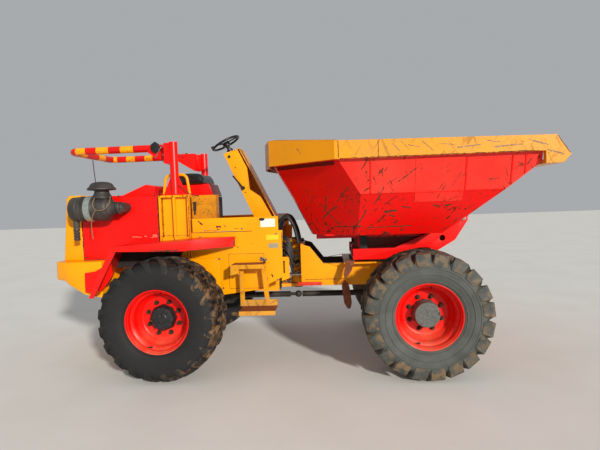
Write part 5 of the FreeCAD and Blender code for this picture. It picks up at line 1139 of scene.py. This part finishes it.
trim("bare_scuffs", SIDE_SKIN, [
    (((-1.655, 1.352), (-1.560, 1.346)), 0.005, 0.0010, 0.9),
    (((-1.530, 1.356), (-1.505, 1.352)), 0.007, 0.0010, 0.9),
    (((-1.470, 1.340), (-1.395, 1.348)), 0.006, 0.0010, 0.9),
    (((-1.440, 1.366), (-1.400, 1.360)), 0.010, 0.0010, 0.8),
    (((-0.905, 1.403), (-0.880, 1.399)), 0.010, 0.0012, 0.8),
    (((-0.845, 1.410), (-0.812, 1.406)), 0.007, 0.0012, 0.8),
    (((-0.790, 1.379), (-0.560, 1.379)), 0.0035, 0.0014, 0.9)], GREY_PLATE, "rear_chassis",
     "dark_iron")
TOUCH_UP = plain_finish("fresh_yellow_touch_up", "#FFC81E", "#FFBE10", 0.4)
for name, outline, tall, finish, slot in (
        ("blank_white_plate", oblong(-0.314, -0.168, 1.412, 1.493), 0.002, PLATE, "dark_iron"),
        ("blank_grey_label", oblong(-0.241, -0.140, 1.196, 1.246), 0.0015, GREY_PLATE,
         "dark_iron"),
        ("fresh_yellow_patch", oblong(-0.263, -0.136, 1.280, 1.330), 0.0012, TOUCH_UP,
         "yellow_paint"),
        # The sill hole is a dark disc on the panel: painted shade inside the hole.
        ("sill_hole", round_outline(-0.300, 1.490, 0.030, 0.016), 0.0024, DARK, "dark_iron")):
    mesh = bmesh.new()
    patched(mesh, SIDE_SKIN, outline, tall)
    piece(name, mesh, finish, "rear_chassis", slot=slot, smooth=30)

# Bracket between bumper and mudguard, front lug with its slot, step bracket, latches, gussets
mesh = bmesh.new()
for side in (-1, 1):
    plate_into(mesh, ((-2.076, 1.017), (-1.968, 1.030), (-1.800, 1.115), (-1.785, 0.990),
                      (-1.900, 0.840), (-1.990, 0.800), (-2.079, 0.830)), 0.008,
               0.800 * side - 0.004)
    block_into(mesh, (-2.050, 0.745, 0.880), (-1.990, 0.800, 0.960), side)
soften(mesh, 0.0012)
piece("mudguard_brackets", mesh, RED, "rear_chassis", slot="red_paint", smooth=30)
plated("front_lug_plates", [
    ((-0.119, 0.856), (-0.038, 0.886), (-0.038, 0.938), (-0.119, 0.938)),
    ((-0.119, 1.061), (-0.038, 1.061), (-0.038, 1.090), (-0.052, 1.102), (-0.119, 1.102)),
    oblong(-0.119, -0.100, 0.938, 1.061), oblong(-0.084, -0.038, 0.938, 1.061)],
       0.008, 0.610, YELLOW, "rear_chassis", "yellow_paint")
mesh = bmesh.new()
for side in (-1, 1):
    plate_into(mesh, ((-0.606, 0.953), (-0.530, 0.970), (-0.521, 1.058), (-0.600, 1.056)), 0.006,
               0.800 * side - 0.003)
    for x in (-0.560, -0.530):
        plate_into(mesh, oblong(x, x + 0.010, 0.960, 1.050), 0.150, -0.790 if side < 0 else 0.640)
piece("step_brackets", mesh, STEP_YELLOW, "rear_chassis", slot="yellow_paint", smooth=30)
mesh = bmesh.new()
box_into(mesh, (-0.301, -0.630, 0.862), (-0.262, -0.618, 0.902))
box_into(mesh, (-0.286, -0.634, 0.896), (-0.276, -0.618, 0.950))
box_into(mesh, (-0.330, -0.632, 1.070), (-0.262, -0.618, 1.092))
rod_into(mesh, (-0.318, -0.640, 1.110), (-0.270, -0.640, 1.078), 0.008, 12)
rod_into(mesh, (-0.270, -0.660, 1.078), (-0.270, -0.615, 1.078), 0.010, 12)
piece("door_latches", mesh, STEEL, "rear_chassis", slot="dark_iron", smooth=35)
mesh = bmesh.new()
box_into(mesh, (-0.992, -0.630, 1.600), (-0.966, -0.619, 1.690))
box_into(mesh, (-0.999, -0.628, 1.672), (-0.959, -0.619, 1.684))
box_into(mesh, (-0.985, -0.634, 1.560), (-0.973, -0.619, 1.612))
piece("tool_box_latch", mesh, DARK, "rear_chassis", slot="dark_iron", smooth=35)
tube("thin_dark_cable", [(-1.151, -0.600, 1.868), (-1.100, -0.610, 1.838), (-1.060, -0.615, 1.795),
                         (-1.025, -0.618, 1.768), (-0.930, -0.621, 1.748)], 0.0045, DARK,
     "rear_chassis")

# Roll bar hinge: black hexagon plates, silver pin and handle, flange bolts
HEXAGON = [(FOLD.x + 0.052 * math.cos(math.radians(30 + 60 * k)),
            FOLD.z + 0.060 * math.sin(math.radians(30 + 60 * k))) for k in range(6)]
plated("hinge_hexagons", [HEXAGON], 0.010, 0.524, GRIP, "rops", "dark_iron", 0.002)
for side, hand in ((-1, "right"), (1, "left")):
    tube("hinge_pin_" + hand, [
        (-1.318, 0.530 * side, 2.274), (-1.330, 0.545 * side, 2.270), (-1.352, 0.548 * side, 2.230),
        (-1.382, 0.548 * side, 2.180), (-1.392, 0.546 * side, 2.160)], 0.0055, STEEL,
         "rear_chassis")
bolts("flange_bolts", [
    (Vector((-1.2835, side * y, z)), Vector((-1, 0, 0)))
    for side in (-1, 1) for y in (0.535, 0.600) for z in (2.115, 2.178, 2.275)], "rear_chassis",
      0.011, 0.010, STEEL)
bolts("panel_bolts", side_spots(
    0.620, (-0.751, 1.100), (-0.505, 1.403), (-0.720, 0.800), (-0.160, 0.870), (-0.160, 1.340),
    (-0.940, 1.330)), "rear_chassis", 0.010, 0.007, STEEL)
bolts("engine_panel_bolts", side_spots(
    0.600, (-2.160, 1.150), (-2.160, 1.770), (-1.400, 1.150), (-1.400, 1.770), (-1.780, 1.150),
    (-1.780, 1.775)), "rear_chassis", 0.010, 0.006, RUST)
bolts("console_screws", [
    (Vector((x, -0.160, z)), Vector((0, -1, 0)))
    for x, z in ((-0.640, 2.060), (-0.540, 1.780))], "rear_chassis", 0.007, 0.004, RUST, 10)
# The console hole is a dark disc on the plate: painted shade inside the hole.
mesh = bmesh.new()
rod_into(mesh, (-0.706, -0.164, 2.181), (-0.706, -0.158, 2.181), 0.017, 24)
piece("console_hole", mesh, DARK, "rear_chassis", slot="dark_iron", smooth=30)

# Mudguards: rubbed lower edge
GUARD_SKIN = skin_of("mudguards")
taper_guards(trim("mudguard_scuffs", GUARD_SKIN, [
    (((-1.690, 1.232), (-1.400, 1.224), (-1.020, 1.222)), 0.008, 0.0010, 0.9),
    (((-1.000, 1.224), (-0.700, 1.240), (-0.515, 1.257)), 0.004, 0.0010, 0.9),
    (((-1.330, 1.236), (-1.060, 1.233)), 0.010, 0.0010, 0.95),
    (((-0.512, 1.262), (-0.512, 1.345)), 0.005, 0.0010, 0.8),
    (((-1.700, 1.292), (-1.300, 1.306), (-0.900, 1.326)), 0.0035, 0.0010, 0.9)], RUST,
     "rear_chassis", "red_paint", (-1, 1)))


# Skip: welded side patch, weld beads, raised rear rim with its joints, floor flange

SKIP_SKIN = skin_of("skip_shell")
mesh = bmesh.new()
for side in (-1, 1):
    for low, high in ((1.712, 2.000), (1.612, 1.694)):
        patched(mesh, SKIP_SKIN, oblong(1.158, 1.584, low, high), 0.004, side)
piece("skip_side_patch", mesh, SKIP_FADED_AND_LIT, "skip", slot="red_paint", smooth=30)
beads = [(((x, 1.705), (x, 1.990)), 0.012, 0.005, 0.35) for x in (0.760, 1.599, 1.990, 2.102)]
beads += [(((0.520, 1.700), (1.150, 1.700)), 0.006, 0.003, 0.4),
          (((1.600, 1.700), (2.000, 1.700)), 0.008, 0.004, 0.4)]
trim("skip_weld_beads", SKIP_SKIN, beads, SKIP_RED, "skip", "red_paint", (-1, 1), 60)
stripes = [(((1.010, 1.800), (1.120, 1.880), (1.250, 1.985)), 0.010, 0.0016, 0.8),
           (((0.795, 1.600), (0.850, 1.690), (0.880, 1.760)), 0.009, 0.0016, 0.8),
           (((0.600, 1.380), (0.680, 1.460), (0.730, 1.560)), 0.010, 0.0016, 0.8),
           (((0.320, 1.480), (0.400, 1.560), (0.470, 1.600)), 0.011, 0.0016, 0.8),
           (((0.330, 1.600), (0.400, 1.500), (0.480, 1.420)), 0.009, 0.0016, 0.8),
           (((0.360, 1.700), (0.350, 1.600), (0.330, 1.540)), 0.009, 0.0016, 0.8),
           (((0.560, 1.770), (0.500, 1.690), (0.460, 1.640)), 0.007, 0.0016, 0.8),
           (((0.890, 1.530), (1.010, 1.545)), 0.018, 0.0016, 0.85),
           (((1.050, 1.575), (1.130, 1.560)), 0.011, 0.0016, 0.85),
           (((0.940, 1.500), (0.990, 1.480)), 0.014, 0.0016, 0.85),
           (((1.330, 1.580), (1.390, 1.570)), 0.012, 0.0016, 0.85),
           (((1.440, 1.570), (1.500, 1.585)), 0.010, 0.0016, 0.85),
           (((0.420, 1.395), (0.700, 1.400)), 0.009, 0.0016, 0.9),
           (((0.740, 1.385), (1.150, 1.392)), 0.008, 0.0016, 0.9),
           (((1.800, 1.790), (1.880, 1.800)), 0.008, 0.0016, 0.85),
           (((0.860, 1.900), (0.870, 1.850)), 0.008, 0.0016, 0.8)]
trim("skip_gouges", SKIP_SKIN, stripes, plain_finish("olive_gouge", "#3E2A12", "#52361A", 0.8),
     "skip", "red_paint", (-1, 1))
# A dark red band under the rim's overhang on the corner: painted shadow.
trim("skip_rim_painted_shadow", SKIP_SKIN, [(((-0.150, 1.990), (0.440, 1.990)), 0.034, 0.0012, 0.2)],
     SHADED_RED, "skip", "red_paint", (-1, 1))
plated("skip_floor_flange", [oblong(0.330, 1.330, 1.300, 1.314)], 0.014, 0.600, RED, "skip",
       "red_paint")

RIM_SKIN = skin_of("skip_rim")
trim("rim_joints", RIM_SKIN, [
    (((0.478, 2.020), (0.478, 2.172)), 0.006, 0.003, 0.5),
    (((0.826, 2.020), (0.826, 2.160)), 0.005, 0.0014, 0.6),
    (((0.490, 2.016), (2.200, 2.016)), 0.006, 0.0014, 0.9),
    (((2.392, 1.912), (2.446, 1.976), (2.335, 2.140)), 0.006, 0.0014, 0.8)], RUST, "skip",
     "worn_yellow", (-1, 1))
trim("rim_scratches", RIM_SKIN, [
    (((0.950, 2.130), (1.010, 2.060)), 0.005, 0.0010, 0.9),
    (((1.020, 2.150), (1.090, 2.070)), 0.004, 0.0010, 0.9),
    (((1.080, 2.110), (1.180, 2.090)), 0.006, 0.0010, 0.9),
    (((1.200, 2.140), (1.300, 2.050)), 0.005, 0.0010, 0.9),
    (((1.340, 2.110), (1.480, 2.095)), 0.005, 0.0010, 0.9),
    (((1.500, 2.070), (1.700, 2.085)), 0.008, 0.0010, 0.9),
    (((1.750, 2.120), (1.860, 2.100)), 0.006, 0.0010, 0.9),
    (((1.800, 2.060), (2.050, 2.075)), 0.010, 0.0010, 0.95),
    (((2.100, 2.110), (2.260, 2.060)), 0.009, 0.0010, 0.95),
    (((2.250, 2.020), (2.390, 1.975)), 0.010, 0.0010, 0.95),
    (((0.100, 2.150), (0.130, 2.100)), 0.006, 0.0010, 0.8)], BARE, "skip", "worn_yellow", (-1, 1))
rear = [vert.co for vert in frame["nodes"]["skip_rim"].data.vertices if vert.co.x < -0.229]
REAR_HALF = max(abs(place.y) for place in rear)
REAR_CORNER_X = -0.230
REAR_POINT = (-0.312, 0.090)
REAR_THICK = 0.008
mesh = bmesh.new()
for side in (-1, 1):
    corner = Vector((REAR_CORNER_X, side * REAR_HALF))
    point = Vector((REAR_POINT[0], side * REAR_POINT[1]))
    for one, two in ((corner, point), (point, Vector((point.x, 0.0)))):
        close_bar(mesh, [
            [mesh.verts.new((spot.x + inward, spot.y, level)) for spot, inward in (
                (one, 0.0), (two, 0.0), (two, REAR_THICK), (one, REAR_THICK))]
            for level in (2.012, 2.292)])
piece("rim_rear_face", mesh, RIM_PALE, "skip", slot="worn_yellow", smooth=20)
mesh = bmesh.new()
for side in (-1, 1):
    corner = Vector((REAR_CORNER_X, side * REAR_HALF))
    along = Vector((0.470, side * 1.150)) - corner
    out = Vector((-along.y, along.x)).normalized() * side * 0.006
    loops = []
    for share, low, high in ((0.0, 2.230, 2.292), (0.14, 2.230, 2.288), (1.0, 2.160, 2.181)):
        spot = corner + along * share
        loops.append([mesh.verts.new((spot.x + shift.x, spot.y + shift.y, level))
                      for shift, level in (
                          (out * 0.3, low), (out, high), (-out, high), (-out, low))])
    close_bar(mesh, loops)
piece("rim_corner_rise", mesh, RIM_CORNER, "skip", slot="worn_yellow", smooth=20)

# Under the skip: skirts in dark red as painted shade, and the black rest block on the swivel frame
plated("swivel_inner_skirts", [
    ((0.640, 1.110), (1.420, 1.110), (1.600, 1.180), (1.620, 1.290), (1.100, 1.292),
     (0.640, 1.292))], 0.006, 0.360, SHADED_RED, "swivel", "red_paint")
mesh = bmesh.new()
for side in (-1, 1):
    block_into(mesh, (0.690, 0.380, 1.100), (0.765, 0.440, 1.290), side)
soften(mesh, 0.004)
piece("rest_blocks", mesh, HOSE, "swivel", slot="dark_iron", smooth=30)

# Front chassis: red strip and rusty plate edges
mesh = bmesh.new()
for side in (-1, 1):
    block_into(mesh, (0.017, 0.298, 0.748), (0.279, 0.308, 0.786), side)
soften(mesh, 0.002)
STRIP_ORANGE = plain_finish("red_orange_strip", "#E8320A", "#B82A0C", 0.45)
piece("red_strip", mesh, STRIP_ORANGE, "front_chassis", slot="red_paint", smooth=30)
FRONT_SKIN = skin_of("front_frame")
trim("front_frame_edges", FRONT_SKIN, [
    (((0.040, 0.800), (0.040, 1.180)), 0.006, 0.0010, 0.8),
    (((0.100, 0.812), (0.560, 0.812)), 0.005, 0.0010, 0.9),
    (((0.300, 0.980), (0.560, 1.000)), 0.005, 0.0010, 0.9)], RUST, "front_chassis", "dark_iron",
     (-1, 1))


# Hoses across the steering joint

# Each hose across the joint: how far to the left it runs, how high it ends and its radius
HOSE_RUNS = (
    (0.150, 0.905, 0.014), (0.210, 0.905, 0.014), (0.270, 0.905, 0.014), (-0.110, 0.985, 0.012),
    (-0.165, 1.010, 0.012), (-0.225, 0.960, 0.010), (0.100, 0.960, 0.010))
mesh = bmesh.new()
for k, (side, drop, thick) in enumerate(HOSE_RUNS):
    sway = 0.012 * (-1) ** k
    mesh.from_mesh(tube_mesh("hose_line", [
        (-0.180, side, 1.150), (-0.128, side + sway, 1.152), (-0.078, side + sway, 1.090),
        (-0.052, side - sway, drop + 0.075), (-0.020, side - sway, drop - 0.020),
        (0.018, side, drop - 0.004), (0.060, side, drop)], thick))


def across_joint(name, mesh, replaced=()):
    """A rubber piece held at both ends, spread over the steering joint."""
    made = piece(name, mesh, HOSE, "rear_chassis", replaced, "hose_rubber", 60)
    made.parent = None
    del made["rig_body"]
    made.matrix_world = Matrix.Identity(4)
    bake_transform(made)


across_joint("hoses_over_joint", mesh, ("hoses",))
draw = random.Random(41)
mesh = bmesh.new()
for k in range(11):
    side = -0.350 - 0.022 * (k % 6) if k < 7 else 0.300 + 0.024 * (k - 7)
    end = math.copysign(0.286, side)
    top = 1.300 - 0.034 * k + draw.uniform(-0.01, 0.01)
    foot = top - 0.150 - draw.uniform(0.0, 0.08)
    mesh.from_mesh(tube_mesh("hose_line", [
        (-0.170, side, top), (-0.120, side, top + 0.004), (-0.070, side - 0.014, top - 0.020),
        (-0.040, side - 0.020, (top + foot) / 2), (-0.010, side - 0.008, foot - 0.016),
        (0.014, (side + end) / 2, foot), (0.043, end, foot)], draw.uniform(0.011, 0.016)))
across_joint("side_hoses_over_joint", mesh)
mesh = bmesh.new()
for k in range(6):
    side = -0.340 + 0.075 * k
    top = 1.500 + 0.018 * math.sin(2.1 * k)
    mesh.from_mesh(tube_mesh("hose_line", [
        (-0.190, side, 1.330), (-0.165, side, 1.420), (-0.120, side - 0.010, top - 0.020),
        (-0.060, side - 0.016, top), (-0.010, side - 0.010, top - 0.070),
        (0.020, side, 1.330), (0.040, side, 1.215)], 0.016 + 0.002 * (k % 2)))
across_joint("looped_hoses_over_joint", mesh)
bolts("hose_unions", [(Vector((-0.180, side, 1.150)), Vector((1, 0, 0)))
                      for side, drop, thick in HOSE_RUNS],
      "rear_chassis", 0.020, 0.026, STEEL)
bolts("hose_tail_unions", [(Vector((0.060, side, drop)), Vector((-1, 0, 0)))
                           for side, drop, thick in HOSE_RUNS],
      "front_chassis", 0.019, 0.022, STEEL)


# The torn strap: flat bar with a half twist, hanging to a point

STRAP_TOP = 1.024
STRAP_FOOT = 0.522
STRAP_SIDE = -0.452
STRAP_HALF = 0.040
STRAP_THICK = 0.004
TEAR_START = 0.88
mesh = bmesh.new()
strip = []
for k in range(29):
    t = k / 28
    z = STRAP_TOP - t * (STRAP_TOP - STRAP_FOOT)
    x = 0.592 - 0.070 * math.sin(min(1.0, t * 1.7) * math.pi / 2) + 0.062 * max(0.0, t - 0.45)
    turn = math.radians(190 * min(1.0, max(0.0, (t - 0.18) / 0.40)) - 8)
    wide = STRAP_HALF * (1.0 if t < TEAR_START else 0.35 + 0.65 * (1 - t) / (1 - TEAR_START))
    way = Vector((math.cos(turn), math.sin(turn), 0.10 * math.sin(6 * t)))
    thick = Vector((-math.sin(turn), math.cos(turn), 0)) * STRAP_THICK
    middle = Vector((x, STRAP_SIDE, z))
    strip.append([mesh.verts.new(middle + a * wide * way + b * thick)
                  for a, b in ((-1, -1), (1, -1), (1, 1), (-1, 1))])
close_bar(mesh, strip)
box_into(mesh, (0.563, -0.450, 0.985), (0.609, -0.420, 1.000))
STRAP_RUST = plain_finish("strap_rust_orange", "#94502E", "#6A3420", 0.75, 0.1, 40, 0.4)
piece("hanging_strap_torn", mesh, STRAP_RUST, "front_chassis", ("hanging_strap",), "rusty_steel",
      40)


# Camera, lights and floor

AIM = dict(place=(0.3784, -5.1375, 1.6334), yaw=3.7138, pitch=-2.7052, roll=2.0339, focal=451.0)
yaw, pitch, roll = (math.radians(AIM[key]) for key in ("yaw", "pitch", "roll"))
ahead = Vector((-math.sin(yaw) * math.cos(pitch), math.cos(yaw) * math.cos(pitch),
                math.sin(pitch)))
level = Vector((math.cos(yaw), math.sin(yaw), 0.0))
above = level.cross(ahead)
across = level * math.cos(roll) - above * math.sin(roll)
upward = above * math.cos(roll) + level * math.sin(roll)
lens = bpy.data.cameras.new("camera")
lens.sensor_width = 36.0
lens.lens = 36.0 * AIM["focal"] / 600.0
camera = placed("camera", lens)
camera.matrix_world = Matrix.Translation(AIM["place"]) @ Matrix(
    (across, upward, -ahead)).transposed().to_4x4()
bpy.context.scene.camera = camera

FLOOR = plain_finish("pale_floor", "#E4E2DC", "#DEDCD5", 0.75, 0.0, 900, 0.02)
mesh = bmesh.new()
box_into(mesh, (-40, -40, -0.05), (40, 40, 0.0))
data = bpy.data.meshes.new("floor")
mesh.to_mesh(data)
mesh.free()
data.materials.append(FLOOR)
floor = placed("floor", data)

SUN_WAY = Vector((-0.497, 0.804, -0.326))
sun = bpy.data.lights.new("key_light", "SUN")
sun.energy = 3.7
sun.angle = math.radians(4.0)
sun.color = (1.0, 0.965, 0.91)
placed("key_light", sun).rotation_euler = SUN_WAY.to_track_quat("-Z", "Y").to_euler()
world = bpy.data.worlds.new("studio")
world.use_nodes = True
bpy.context.scene.world = world
sky = world.node_tree.nodes["Background"]
sky.inputs["Color"].default_value = (0.93, 0.96, 1.0, 1.0)
sky.inputs["Strength"].default_value = 0.42

bpy.context.scene.view_settings.view_transform = "Standard"
